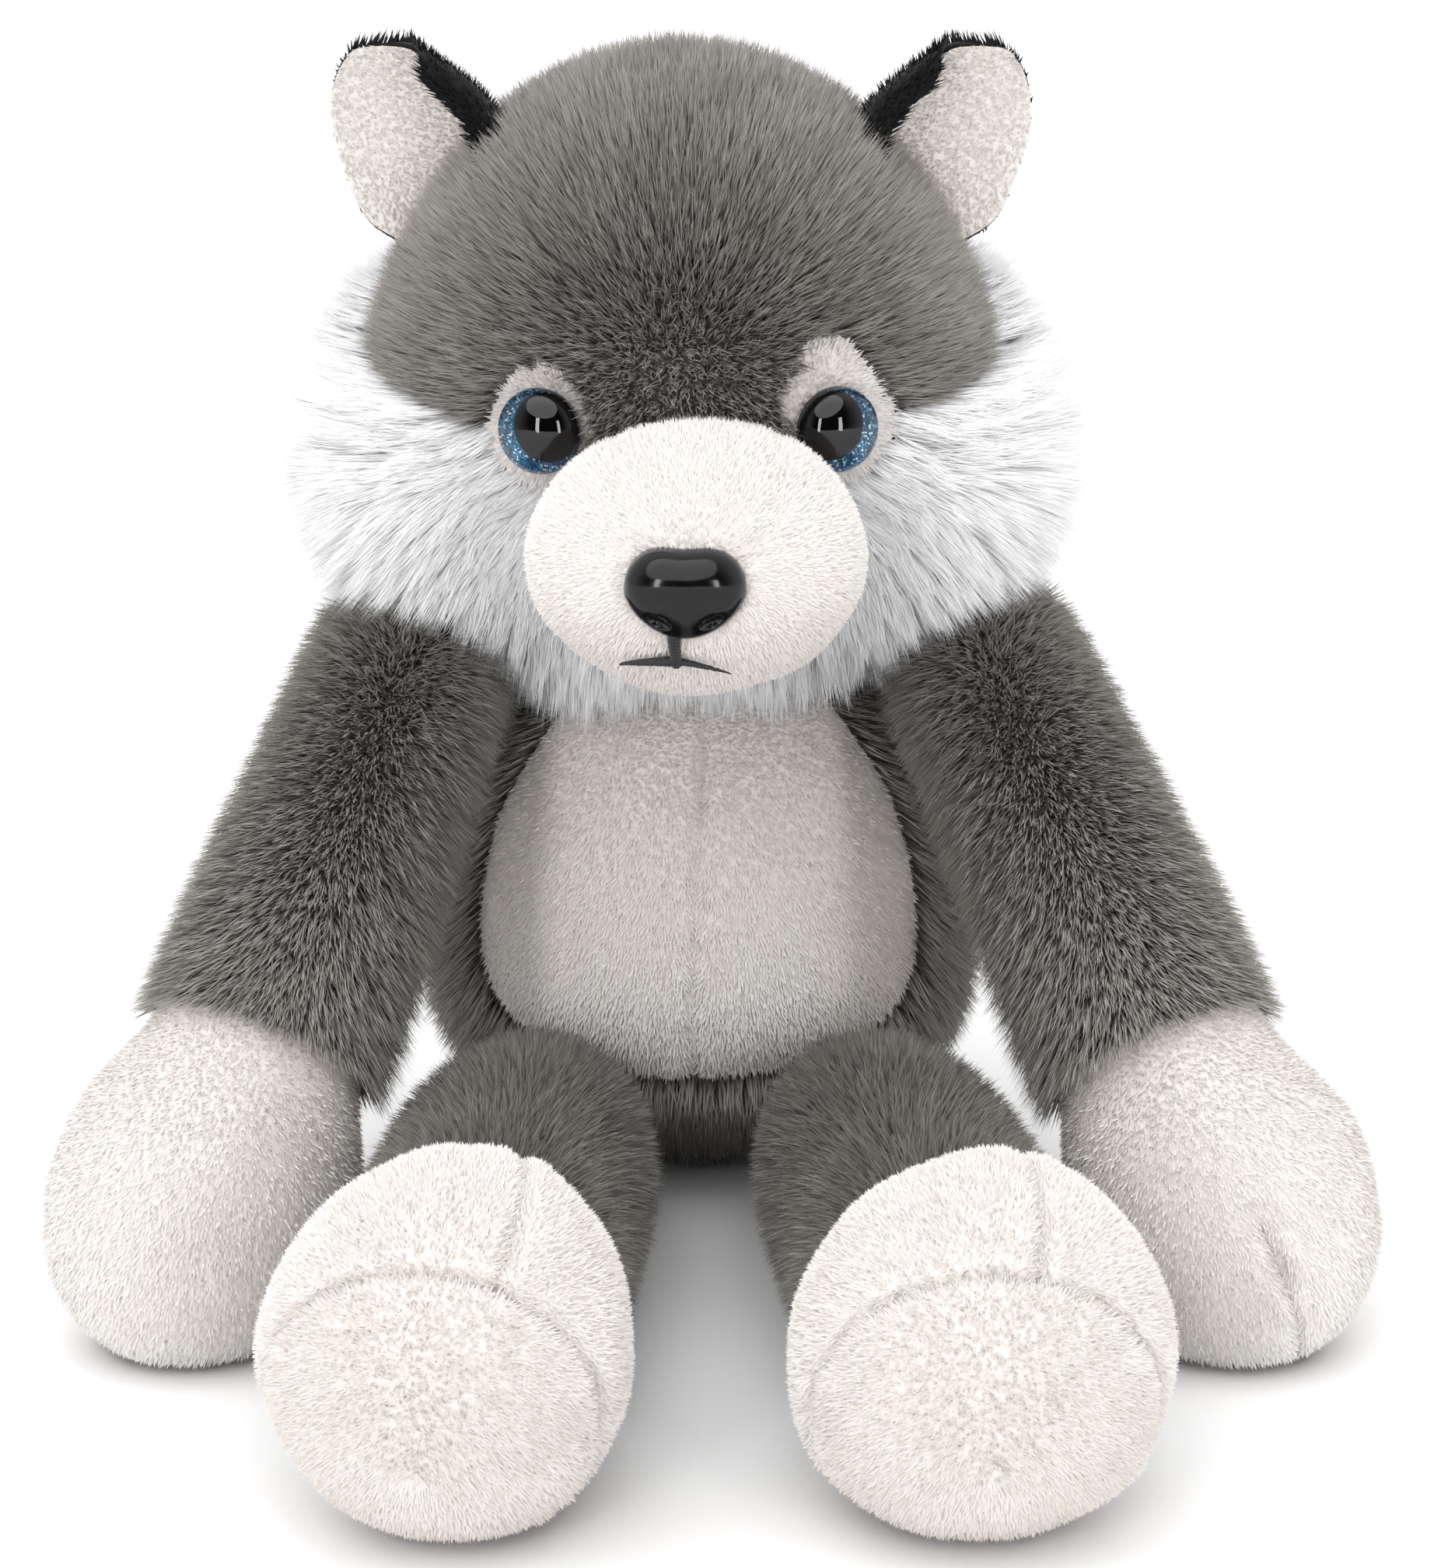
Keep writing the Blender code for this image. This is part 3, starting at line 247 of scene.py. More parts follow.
class Form:
    """A stuffed form: a skin on rows (pole to pole) and columns (all round, in degrees)."""
    bulge = None
    tight = 1.0

    def __init__(self, skin, middle, first, last, floor=None, seams=()):
        self.skin, self.middle, self.first, self.last = skin, middle, first, last
        self.floor, self.seams = floor, seams

    def slopes(self, row, col):
        """Unit directions along the rows and round the columns."""
        step = (self.last - self.first) * 0.002
        row = min(max(row, self.first + 3 * step), self.last - 3 * step)
        along = self.skin(row + step, col) - self.skin(row - step, col)
        around = self.skin(row, col + 0.5) - self.skin(row, col - 0.5)
        return along.normalized(), around.normalized()

    def normal(self, row, col):
        along, around = self.slopes(row, col)
        out = along.cross(around).normalized()
        return out if out.dot(self.skin(row, col) - self.middle(row)) > 0 else -out

    def swell(self, row, col, point):
        """How far a short cloth stands off its own height: uneven, puckered and sunk at its seams."""
        rise = LUMPS * noise.noise(point / LUMP_SIZE)
        if self.bulge:
            rise += self.bulge(row, col)
        for count, seam in enumerate(self.seams):
            away, along = seam(row, col)
            if away < PUCKER_REACH:
                fold = noise.noise(Vector((along / PUCKER_PITCH, away / 7.0, 9.0 * count)))
                beside = ease(away, 0.0, 1.5) * (1.0 - ease(away, 2.0, PUCKER_REACH))
                rise += self.tight * (PUCKER * fold * beside - SEAM_DIP * (1.0 - ease(away, 0.0, SEAM_REACH)))
        return rise

    def at(self, row, col, height, sewn=False):
        point = self.skin(row, col)
        if sewn:
            height += self.swell(row, col, point)
        point = point + self.normal(row, col) * height
        if self.floor is not None:
            point.z = max(point.z, self.floor + height)
        return point


def face_axes(dip, turn=0.0, lean=0.0):
    """Axis out of the face, its up and its right, for a dip below the horizontal and a turn."""
    d = math.radians(dip)
    out = Vector((0.0, -math.cos(d), -math.sin(d)))
    up = Vector((0.0, -math.sin(d), math.cos(d)))
    right = Vector((1.0, 0.0, 0.0))
    tilt = Matrix.Rotation(math.radians(lean), 3, out)
    swing = Matrix.Rotation(math.radians(turn), 3, "Z")
    return swing @ out, swing @ (tilt @ up), swing @ (tilt @ right)


def direction(axes, row, col):
    out, up, right = axes
    r, c = math.radians(row), math.radians(col)
    return out * math.cos(r) + (up * math.cos(c) + right * math.sin(c)) * math.sin(r)


def egg(d, half_x, half_y, above, below):
    half_z = above if d.z > 0 else below
    return 1.0 / math.sqrt((d.x / half_x) ** 2 + (d.y / half_y) ** 2 + (d.z / half_z) ** 2)


HEAD_AXES = face_axes(FACE_DIP)
MUZZLE_AXES = face_axes(0.0)


def head_skin(row, col):
    d = direction(HEAD_AXES, row, col)
    side = max(abs(d.x) * 0.86 - d.z * 0.50 - d.y * 0.05, 0.0)
    bulge = 1.0 + CHEEK_BULGE * side ** 4
    return HEAD_CENTRE + d * egg(d, HEAD_HALF_WIDTH, HEAD_HALF_DEPTH, HEAD_ABOVE, HEAD_BELOW) * bulge


def muzzle_skin(row, col):
    d = direction(MUZZLE_AXES, row, col)
    return MUZZLE_CENTRE + d * egg(d, MUZZLE_HALF_WIDTH, MUZZLE_LENGTH, MUZZLE_ABOVE, MUZZLE_BELOW)


def body_skin(row, col):
    """Rows are latitude from -90 at the seat to 90 at the neck, columns turn from the front."""
    lat, turn = math.radians(row), math.radians(col)
    girth = max(math.cos(lat), 0.0) ** 0.75 * (1.0 - 0.13 * math.sin(lat))
    deep = mix(BODY_BACK, BODY_FRONT, 0.5 + 0.5 * math.cos(turn))
    high = BODY_ABOVE if row > 0 else BODY_BELOW
    tuck = SEAT_TUCK * ease(-row, 0.0, 60.0) ** 2
    return BODY_CENTRE + Vector((BODY_HALF_WIDTH * girth * math.sin(turn),
                                 tuck - deep * girth * math.cos(turn),
                                 high * math.sin(lat)))


def bend(points, share):
    """A point and the direction on the curve led by three points."""
    a, b, c = points
    s = 1.0 - share
    place = a * s * s + b * 2 * s * share + c * share * share
    heading = (b - a) * s + (c - b) * share
    return place, heading.normalized()


def bent_length(points):
    spots = [bend(points, share)[0] for share in spread(0.0, 1.0, 40)]
    return sum((b - a).length for a, b in zip(spots, spots[1:]))


def limb_form(points, radius, start_cap, end_cap):
    """A stuffed tube round a bent centre line, round at both ends."""
    length = bent_length(points)

    def cap(share):
        run = share * length
        if run < start_cap:
            return math.sqrt(max(1.0 - (1.0 - run / start_cap) ** 2, 0.0))
        if length - run < end_cap:
            return max(1.0 - (1.0 - (length - run) / end_cap) ** END_FULL, 0.0) ** (1.0 / END_FULL)
        return 1.0

    def skin(share, col):
        place, heading = bend(points, share)
        side = heading.cross(Vector((0.0, 0.0, 1.0))).normalized()
        lift = side.cross(heading)
        turn = math.radians(col)
        return place + (side * math.cos(turn) + lift * math.sin(turn)) * radius(share) * cap(share)

    form = Form(skin, lambda share: bend(points, min(max(share, 0.08), 0.92))[0], 0.0, 1.0, FLOOR_GAP)
    form.length = length
    return form


def arm_form(points):
    wrist = 1.0 - PAW_LENGTH / bent_length(points)

    def radius(share):
        arm = mix(ARM_ROOT, ARM_MIDDLE, ease(share, 0.0, 0.45 * wrist))
        arm = mix(arm, WRIST, ease(share, 0.35 * wrist, wrist))
        return mix(arm, PAW, ease(share, wrist, mix(wrist, 1.0, 0.5)))

    form = limb_form(points, radius, ARM_ROOT, PAW)
    form.wrist = wrist
    return form


def leg_form(points):
    return limb_form(points, lambda share: mix(LEG_ROOT, ANKLE, ease(share, 0.0, 0.5)), 12.0, 8.0)


def foot_form(word):
    axes = face_axes(SOLE_DIP, SOLE_TURN[word], FOOT_LEAN[word])

    def skin(row, col):
        d = direction(axes, row, col)
        return FEET[word] + d * egg(d, FOOT_HALF_WIDTH, FOOT_HALF_LENGTH, FOOT_HALF_HEIGHT, FOOT_HALF_HEIGHT)

    form = Form(skin, lambda row: FEET[word], 0.0, 180.0, FLOOR_GAP, (sole_seam, top_seam))
    form.bulge = lambda row, col: (round_table(FOOT_BULGE[word], col - FOOT_LEAN[word])
                                   * math.sin(math.radians(row)) ** 2)
    return form


def tail_form():
    return limb_form(TAIL, lambda share: mix(TAIL_ROOT, TAIL_MIDDLE, ease(share, 0.0, 0.6)), 5.0, 16.0)


# Where one cloth ends and the next begins

def crown_edge(row):
    """Degrees from the top of the head to where the grey crown ends, for each row."""
    return 76.0 + 7.0 * ease(row, 40.0, 80.0) - 8.0 * ease(row, 84.0, 104.0)


def gusset_edge(row):
    return mix(GUSSET_AT_NOSE, GUSSET_AT_FACE, ease(row, 20.0, 70.0))


def belly_middle(lat):
    """Where the belly's middle seam runs, in degrees to the toy's left."""
    return mix(-1.2, 1.6, ease(lat, -10.0, 50.0))


def belly_edge(lat):
    """Degrees each side of the front where the belly panel ends, none below its foot."""
    if lat < BELLY_FOOT:
        return 0.0
    low = math.sqrt(1.0 - (1.0 - min((lat - BELLY_FOOT) / 26.0, 1.0)) ** 2)
    return BELLY_HALF * low - 12.0 * ease(lat, 15.0, 55.0)


# Seams, each as the distance from it and the place along it, in mm

def muzzle_seam(row, col):
    away = abs(abs(col) - gusset_edge(row)) * math.sin(math.radians(row))
    return away * MUZZLE_HALF_WIDTH * DEGREE, row * MUZZLE_LENGTH * DEGREE


def belly_seam(row, col):
    if row < BELLY_FOOT:
        return PUCKER_REACH, 0.0
    away = abs(col - belly_middle(row)) * math.cos(math.radians(row))
    return away * BODY_HALF_WIDTH * DEGREE, row * BODY_ABOVE * DEGREE


def sole_seam(row, col):
    return abs(row - SOLE) * FOOT_HALF_WIDTH * DEGREE, col * FOOT_HALF_WIDTH * DEGREE


def top_seam(row, col):
    if row < SOLE:
        return PUCKER_REACH, 0.0
    around = min(abs(wrap(col)), abs(wrap(col - 180.0)))
    return around * math.sin(math.radians(row)) * FOOT_HALF_WIDTH * DEGREE, row * 0.5


def cheek_pile(row, col):
    """Short beside the muzzle, long at the side of the head, medium under the chin."""
    side = mix(CHEEK_PILE_SIDE, CHIN_PILE, ease(abs(col), 112.0, 172.0))
    edge = mix(0.62, 1.0, ease(abs(col), crown_edge(row), crown_edge(row) + 22.0))
    return mix(CHEEK_PILE_FACE, side * edge, ease(row, 30.0, 72.0))


def back_pile(row, col):
    low = ease(abs(col), crown_edge(CROWN_BACK) - 5.0, crown_edge(CROWN_BACK) + 25.0)
    return mix(CROWN_PILE, cheek_pile(CROWN_BACK, col) * 0.8, low * ease(row, 160.0, 125.0) * 0.6)


# Meshes

def metres(point):
    return (point - SEAT_AT) * MM


def new_object(name, mesh):
    made = bpy.data.objects.new(name, mesh)
    bpy.context.scene.collection.objects.link(made)
    return made


def facing_out(grid, faces, outwards):
    """Turns the faces so that they look the way the cloth looks."""
    flat = [p for row in grid for p in row]
    total = 0.0
    for face in faces[:: max(len(faces) // 60, 1)]:
        a, b, c = (flat[i] for i in face[:3])
        total += (b - a).cross(c - a).dot(outwards[face[0]])
    return faces if total > 0 else [tuple(reversed(face)) for face in faces]


def lay_cloth(name, rows, columns, place, outward, ring=False, keep=None, facts=None):
    """A sheet of cloth on rows and columns, with what its pile needs kept at each point.

    place(row, col) gives a point in mm, and facts(row, col, point, out) gives the way the pile
    lies, its length in mm, how thick it stands, and its tint.
    """
    spots = [[(r, c) for c in columns(r)] for r in rows]
    grid = [[place(r, c) for r, c in line] for line in spots]
    outs = [outward(r, c) for line in spots for r, c in line]
    count = len(grid[0])
    faces = []
    for i in range(len(grid) - 1):
        for j in range(count if ring else count - 1):
            k = (j + 1) % count
            face = (i * count + j, i * count + k, (i + 1) * count + k, (i + 1) * count + j)
            middle = (grid[i][j] + grid[i][k] + grid[i + 1][k] + grid[i + 1][j]) / 4
            if keep is None or keep(middle):
                faces.append(face)
    faces = facing_out(grid, faces, outs)
    flat = [p for line in grid for p in line]
    mesh = bpy.data.meshes.new(name)
    mesh.from_pydata([metres(p) for p in flat], [], faces)
    if facts:
        lie, length, thick, tint = [], [], [], []
        for (r, c), p, n in zip((s for line in spots for s in line), flat, outs):
            way, long, dense, shade = facts(r, c, p, n)
            lie.extend(way)
            length.append(long * MM)
            thick.append(dense)
            tint.append(shade)
        mesh.attributes.new("lie", "FLOAT_VECTOR", "POINT").data.foreach_set("vector", lie)
        for word, values in (("length", length), ("thick", thick), ("tint", tint)):
            mesh.attributes.new(word, "FLOAT", "POINT").data.foreach_set("value", values)
    used = {i for face in faces for i in face}
    if len(used) < len(flat):
        bm = bmesh.new()
        bm.from_mesh(mesh)
        bmesh.ops.delete(bm, geom=[v for v in bm.verts if not v.link_faces], context="VERTS")
        bm.to_mesh(mesh)
        bm.free()
    for face in mesh.polygons:
        face.use_smooth = True
    return new_object(name, mesh)


# Materials

FLAKE = 0.26 * MM       # the glitter's real 0.2 mm flakes, drawn as coarse as they need to show
WEAR_SIZE = 2.2         # of the patches where handling has changed a plastic's gloss, in mm
# Flake colours from dark to pale blue; the palest stand for painted sparkle, beside the real glint of each
# flake's tilt
GLITTER_AND_SPARKLE = ((0.0, "#0a2a48"), (0.32, "#114a70"), (0.6, "#1f6fa0"), (0.8, "#3d9fd0"), (0.9, "#c8f6ff"))


def linear(code):
    """A colour from its sRGB hex code."""
    parts = [int(code[i:i + 2], 16) / 255.0 for i in (1, 3, 5)]
    return tuple(p / 12.92 if p <= 0.04045 else ((p + 0.055) / 1.055) ** 2.4 for p in parts) + (1.0,)


def add_node(tree, kind, inputs=None, **settings):
    """Adds a node, sets it, and links or fills its inputs. A node given as a value is its first output."""
    node = tree.nodes.new(kind)
    for word, value in settings.items():
        setattr(node, word, value)
    for key, value in (inputs or {}).items():
        if isinstance(value, bpy.types.Node):
            value = value.outputs[0]
        if isinstance(value, bpy.types.NodeSocket):
            tree.links.new(value, node.inputs[key])
        else:
            node.inputs[key].default_value = value
    return node


def start_material(name, **sockets):
    made = bpy.data.materials.new(name)
    made.use_nodes = True
    shader = made.node_tree.nodes["Principled BSDF"]
    for key, value in sockets.items():
        shader.inputs[key.replace("_", " ")].default_value = value
    return made, made.node_tree, shader


def pile_material(name, root, dark, light, sheen=0.3):
    """Acrylic pile. Strands differ in tint along u, and run from root to tip along v. The root colour is
    partly the pile's own darker undercoat and partly painted shade deep in the pile.
    """
    made, tree, shader = start_material(name, Roughness=0.75, Sheen_Weight=sheen, Sheen_Roughness=0.4)
    shader.inputs["Specular IOR Level"].default_value = 0.25
    where = add_node(tree, "ShaderNodeUVMap", uv_map="OFBake")
    parts = add_node(tree, "ShaderNodeSeparateXYZ", {0: where})
    tip = add_node(tree, "ShaderNodeMix", {"Factor": parts, 6: linear(dark), 7: linear(light)},
                   data_type="RGBA")
    rise = add_node(tree, "ShaderNodeMapRange", {0: parts.outputs[1], 1: 0.0, 2: 0.75, 3: 0.0, 4: 1.0},
                    interpolation_type="SMOOTHSTEP")
    whole = add_node(tree, "ShaderNodeMix", {"Factor": rise, 6: linear(root), 7: tip.outputs[2]},
                     data_type="RGBA")
    tree.links.new(whole.outputs[2], shader.inputs["Base Color"])
    return made


def fibre_material(name, dark, light, size, strength, depth, detail=2.0, rough=0.5, **sockets):
    """Fibres too fine to draw singly: one noise gives their tone and a bump, with size and depth in mm."""
    made, tree, shader = start_material(name, **sockets)
    where = add_node(tree, "ShaderNodeTexCoord")
    grain = add_node(tree, "ShaderNodeTexNoise", {"Vector": where.outputs["Object"], "Roughness": rough,
                                                  "Scale": 1.0 / (size * MM), "Detail": detail})
    tone = add_node(tree, "ShaderNodeMix", {"Factor": grain, 6: linear(dark), 7: linear(light)},
                    data_type="RGBA")
    bump = add_node(tree, "ShaderNodeBump", {"Height": grain, "Strength": strength, "Distance": depth * MM})
    tree.links.new(tone.outputs[2], shader.inputs["Base Color"])
    tree.links.new(bump.outputs[0], shader.inputs["Normal"])
    return made


# Pile

MATHS, VECTORS = "ShaderNodeMath", "ShaderNodeVectorMath"
SPLIT, JOIN = "ShaderNodeSeparateXYZ", "ShaderNodeCombineXYZ"
SQUARE_CM = 10000.0     # in a square metre
STRAND_SHADE = 0.4      # how far a strand's tint may differ from the next
LOCK_SHADE = 0.2        # and a lock's from the next


def strand_mesh():
    """One strand as a flat blade of a single triangle, a unit wide along X and a unit long along Y."""
    mesh = bpy.data.meshes.new("strand")
    mesh.from_pydata([(-0.5, 0.0, 0.0), (0.5, 0.0, 0.0), (0.0, 1.0, 0.0)], [], [(0, 1, 2)])
    return mesh


def new_tree(name, inputs):
    """A Geometry Nodes group with its named inputs, and a Geometry socket each way."""
    tree = bpy.data.node_groups.new(name, "GeometryNodeTree")
    face = tree.interface
    face.new_socket("Geometry", in_out="INPUT", socket_type="NodeSocketGeometry")
    for label, kind, value in inputs:
        socket = face.new_socket(label, in_out="INPUT", socket_type="NodeSocket" + kind)
        if value is not None:
            socket.default_value = value
    face.new_socket("Geometry", in_out="OUTPUT", socket_type="NodeSocketGeometry")
    return tree, add_node(tree, "NodeGroupInput").outputs


def pile_tree():
    """Geometry Nodes: strands that stand on a cloth, lie its way and gather in small locks."""
    if "Pile" in bpy.data.node_groups:
        return bpy.data.node_groups["Pile"]
    tree, given = new_tree("Pile", (
        ("Strand", "Object", None), ("Per square cm", "Float", 200.0), ("Width", "Float", 0.3 * MM),
        ("Wander", "Float", 0.35), ("Lock size", "Float", 4.0 * MM), ("Lock pull", "Float", 0.5),
        ("Uneven", "Float", 0.3), ("Turn", "Float", 0.45), ("Floor", "Float", FLOOR_GAP * MM),
        ("Seed", "Int", 0), ("Material", "Material", None)))
    kept = {}
    for word, kind in (("thick", "FLOAT"), ("length", "FLOAT"), ("tint", "FLOAT"), ("lie", "FLOAT_VECTOR"),
                       ("root", "FLOAT_VECTOR"), ("out", "FLOAT_VECTOR"), ("chance", "FLOAT_VECTOR"),
                       ("luck", "FLOAT_VECTOR")):
        kept[word] = add_node(tree, "GeometryNodeInputNamedAttribute", {"Name": word}, data_type=kind)

    # Roots on the cloth, each with what its strand needs to know once it is one of many
    density = add_node(tree, MATHS, {0: given["Per square cm"], 1: SQUARE_CM}, operation="MULTIPLY")
    density = add_node(tree, MATHS, {0: density, 1: kept["thick"]}, operation="MULTIPLY")
    roots = add_node(tree, "GeometryNodeDistributePointsOnFaces",
                     {"Mesh": given["Geometry"], "Density": density, "Seed": given["Seed"]},
                     distribute_method="RANDOM")
    place = add_node(tree, "GeometryNodeInputPosition")
    chance = add_node(tree, "FunctionNodeRandomValue", {0: (-1.0, -1.0, -1.0), 1: (1.0, 1.0, 1.0),
                                                        "Seed": given["Seed"]}, data_type="FLOAT_VECTOR")
    seed = add_node(tree, MATHS, {0: given["Seed"], 1: 7.0}, operation="ADD")
    luck = add_node(tree, "FunctionNodeRandomValue", {0: (0.0, 0.0, 0.0), 1: (1.0, 1.0, 1.0), "Seed": seed},
                    data_type="FLOAT_VECTOR")
    stream = roots
    for word, value in (("root", place), ("out", roots.outputs["Normal"]), ("chance", chance),
                        ("luck", luck)):
        stream = add_node(tree, "GeometryNodeStoreNamedAttribute",
                          {"Geometry": stream, "Name": word, "Value": value},
                          data_type="FLOAT_VECTOR", domain="POINT")
    strand = add_node(tree, "GeometryNodeObjectInfo", {"Object": given["Strand"]})
    stood = add_node(tree, "GeometryNodeInstanceOnPoints",
                     {"Points": stream, "Instance": strand.outputs["Geometry"]})
    solid = add_node(tree, "GeometryNodeRealizeInstances", {0: stood})

    # Where each point of a strand goes: the strand's own X is its width and its own Y its length
    here = add_node(tree, VECTORS, {0: place, 1: kept["root"]}, operation="SUBTRACT")
    here = add_node(tree, SPLIT, {0: here}).outputs
    across, rise = here[0], here[1]
    luck = add_node(tree, SPLIT, {0: kept["luck"]}).outputs
    cells = add_node(tree, MATHS, {0: 1.0, 1: given["Lock size"]}, operation="DIVIDE")
    lock = add_node(tree, "ShaderNodeTexVoronoi", {"Vector": kept["root"], "Scale": cells})
    pull = add_node(tree, VECTORS, {0: lock.outputs["Position"], 1: kept["root"]}, operation="SUBTRACT")
    draw = add_node(tree, MATHS, {0: given["Lock pull"], 1: given["Lock size"]}, operation="DIVIDE")
    pull = add_node(tree, VECTORS, {0: pull, "Scale": draw}, operation="SCALE")
    pull = add_node(tree, VECTORS, {0: pull, "Scale": rise}, operation="SCALE")
    wander = add_node(tree, VECTORS, {0: kept["chance"], "Scale": given["Wander"]}, operation="SCALE")
    heading = add_node(tree, VECTORS, {0: kept["out"], 1: wander}, operation="ADD")
    droop = add_node(tree, MATHS, {0: rise, 1: 0.5}, operation="ADD")
    lie = add_node(tree, VECTORS, {0: kept["lie"], "Scale": droop}, operation="SCALE")
    heading = add_node(tree, VECTORS, {0: heading, 1: lie}, operation="ADD")
    heading = add_node(tree, VECTORS, {0: heading, 1: pull}, operation="ADD")
    heading = add_node(tree, VECTORS, {0: heading}, operation="NORMALIZE")
    cut = add_node(tree, MATHS, {0: luck[0], 1: given["Uneven"]}, operation="MULTIPLY")
    cut = add_node(tree, MATHS, {0: 1.0, 1: cut}, operation="SUBTRACT")
    reach = add_node(tree, MATHS, {0: kept["length"], 1: cut}, operation="MULTIPLY")
    reach = add_node(tree, MATHS, {0: reach, 1: rise}, operation="MULTIPLY")
    turned_out = add_node(tree, VECTORS, {0: kept["chance"], "Scale": given["Turn"]}, operation="SCALE")
    turned_out = add_node(tree, VECTORS, {0: kept["out"], 1: turned_out}, operation="ADD")
    flat = add_node(tree, VECTORS, {0: heading, 1: turned_out}, operation="CROSS_PRODUCT")
    flat = add_node(tree, VECTORS, {0: flat}, operation="NORMALIZE")
    half = add_node(tree, MATHS, {0: across, 1: given["Width"]}, operation="MULTIPLY")
    flat = add_node(tree, VECTORS, {0: flat, "Scale": half}, operation="SCALE")
    along = add_node(tree, VECTORS, {0: heading, "Scale": reach}, operation="SCALE")
    spot = add_node(tree, VECTORS, {0: kept["root"], 1: along}, operation="ADD")
    spot = add_node(tree, VECTORS, {0: spot, 1: flat}, operation="ADD")
    apart = add_node(tree, SPLIT, {0: spot}).outputs
    lifted = add_node(tree, MATHS, {0: apart[2], 1: given["Floor"]}, operation="MAXIMUM")
    spot = add_node(tree, JOIN, {0: apart[0], 1: apart[1], 2: lifted})

    # The pile's colour: its tint, a little different for each strand and each lock, and its rise
    own = add_node(tree, MATHS, {0: luck[1], 1: 0.5}, operation="SUBTRACT")
    own = add_node(tree, MATHS, {0: own, 1: STRAND_SHADE}, operation="MULTIPLY")
    tint = add_node(tree, MATHS, {0: kept["tint"], 1: own}, operation="ADD")
    shade = add_node(tree, SPLIT, {0: lock.outputs["Color"]})
    shade = add_node(tree, MATHS, {0: shade, 1: 0.5}, operation="SUBTRACT")
    shade = add_node(tree, MATHS, {0: shade, 1: LOCK_SHADE}, operation="MULTIPLY")
    tint = add_node(tree, MATHS, {0: tint, 1: shade}, operation="ADD")
    tint = add_node(tree, "ShaderNodeClamp", {0: tint, 1: 0.01, 2: 0.97})
    side = add_node(tree, MATHS, {0: across, 1: 0.02}, operation="MULTIPLY")
    tint = add_node(tree, MATHS, {0: tint, 1: side}, operation="ADD")
    mapped = add_node(tree, JOIN, {0: tint, 1: rise})
    named = add_node(tree, "GeometryNodeStoreNamedAttribute",
                     {"Geometry": solid, "Name": "OFBake", "Value": mapped}, data_type="FLOAT2",
                     domain="CORNER")
    moved = add_node(tree, "GeometryNodeSetPosition", {"Geometry": named, "Position": spot})
    dressed = add_node(tree, "GeometryNodeSetMaterial", {"Geometry": moved, "Material": given["Material"]})
    add_node(tree, "NodeGroupOutput", {0: dressed})
    return tree


def settle(piece, nodes, given):
    """Fills the inputs of a piece's Geometry Nodes and keeps what they make as a plain mesh."""
    for item in nodes.node_group.interface.items_tree:
        if item.in_out == "INPUT" and item.name in given:
            nodes[item.identifier] = given[item.name]
    bpy.context.view_layer.update()
    made = bpy.data.meshes.new_from_object(piece.evaluated_get(bpy.context.evaluated_depsgraph_get()))
    piece.modifiers.clear()
    piece.data = made
    made.name = piece.name


SPARE = ("lie", "length", "thick", "tint", "root", "out", "chance", "luck", "sharp_face")


def grow_pile(cloth, name, slot, material, seed, **sizes):
    """Stands strands on a cloth with the Pile nodes and keeps the result as a plain mesh."""
    strand = new_object("strand", strand_mesh())
    hair = new_object(name, cloth.data.copy())
    growth = hair.modifiers.new("Pile", "NODES")
    growth.node_group = pile_tree()
    given = {"Strand": strand, "Seed": seed, "Material": material, "Floor": FLOOR_GAP * MM}
    given.update({key.replace("_", " "): value for key, value in sizes.items()})
    settle(hair, growth, given)
    for word in SPARE:
        if word in hair.data.attributes:
            hair.data.attributes.remove(hair.data.attributes[word])
    bpy.data.objects.remove(strand, do_unlink=True)
    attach(hair, "root")
    return hair


def dress(piece, slot, material, *nodes):
    """Gives a piece its material, and puts it in the place of these nodes. The slot is not used."""
    piece.data.materials.clear()
    piece.data.materials.append(material)
    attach(piece, "root")
    if nodes:
        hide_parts(*nodes)


def flow(form, row, col, out, down_row, world):
    """The way a pile lies along the cloth: down the rows, and a world direction with it."""
    way = form.slopes(row, col)[0] * down_row + world
    return way - out * way.dot(out)


# Cloths: what each is made of and how its pile stands

PILES = {
    "grey": dict(slot="grey_pile", Per_square_cm=560.0, Width=0.46 * MM, Wander=0.26,
                 Lock_size=2.4 * MM, Lock_pull=0.22, Uneven=0.45),
    "long": dict(slot="white_long_pile", Per_square_cm=880.0, Width=0.42 * MM, Wander=0.2,
                 Lock_size=4.5 * MM, Lock_pull=0.35, Uneven=0.5, Turn=0.0),
    "short": dict(slot="white_short_pile", Per_square_cm=360.0, Width=0.5 * MM, Wander=0.35,
                  Lock_size=2.0 * MM, Lock_pull=0.2, Uneven=0.45, Turn=0.1),
    "black": dict(slot="black_short_pile", Per_square_cm=430.0, Width=0.5 * MM, Wander=0.5,
                  Lock_size=2.0 * MM, Lock_pull=0.4, Uneven=0.35),
}

# What each pile is, and how strongly its fine ends glow against the light: the long white is the
# silkiest, the grey and the black are matt
FINISHES = {"grey": ("Grey acrylic long pile", 0.15), "long": ("White acrylic long pile", 0.8),
            "short": ("White polyester short pile", 0.5), "black": ("Black polyester short pile", 0.1)}


def pile_finish(kind):
    """The pile's and the ground's material of a cloth, made once."""
    name, sheen = FINISHES[kind]
    if name in bpy.data.materials:
        return bpy.data.materials[name], bpy.data.materials[name + " ground"]
    look = bpy.context.scene.husky_colours
    root, dark, light = (getattr(look, kind + "_" + part) for part in ("root", "dark", "light"))
    # The knitted ground shows only between strands, as dull loops of about 0.9 mm, in the root colours:
    # partly the pile's own undercoat, partly painted shade
    ground = fibre_material(name + " ground", root, dark, 0.9, 0.4, 0.4, 3.0, Roughness=0.9, Sheen_Weight=0.3)
    return pile_material(name, root, dark, light, sheen), ground


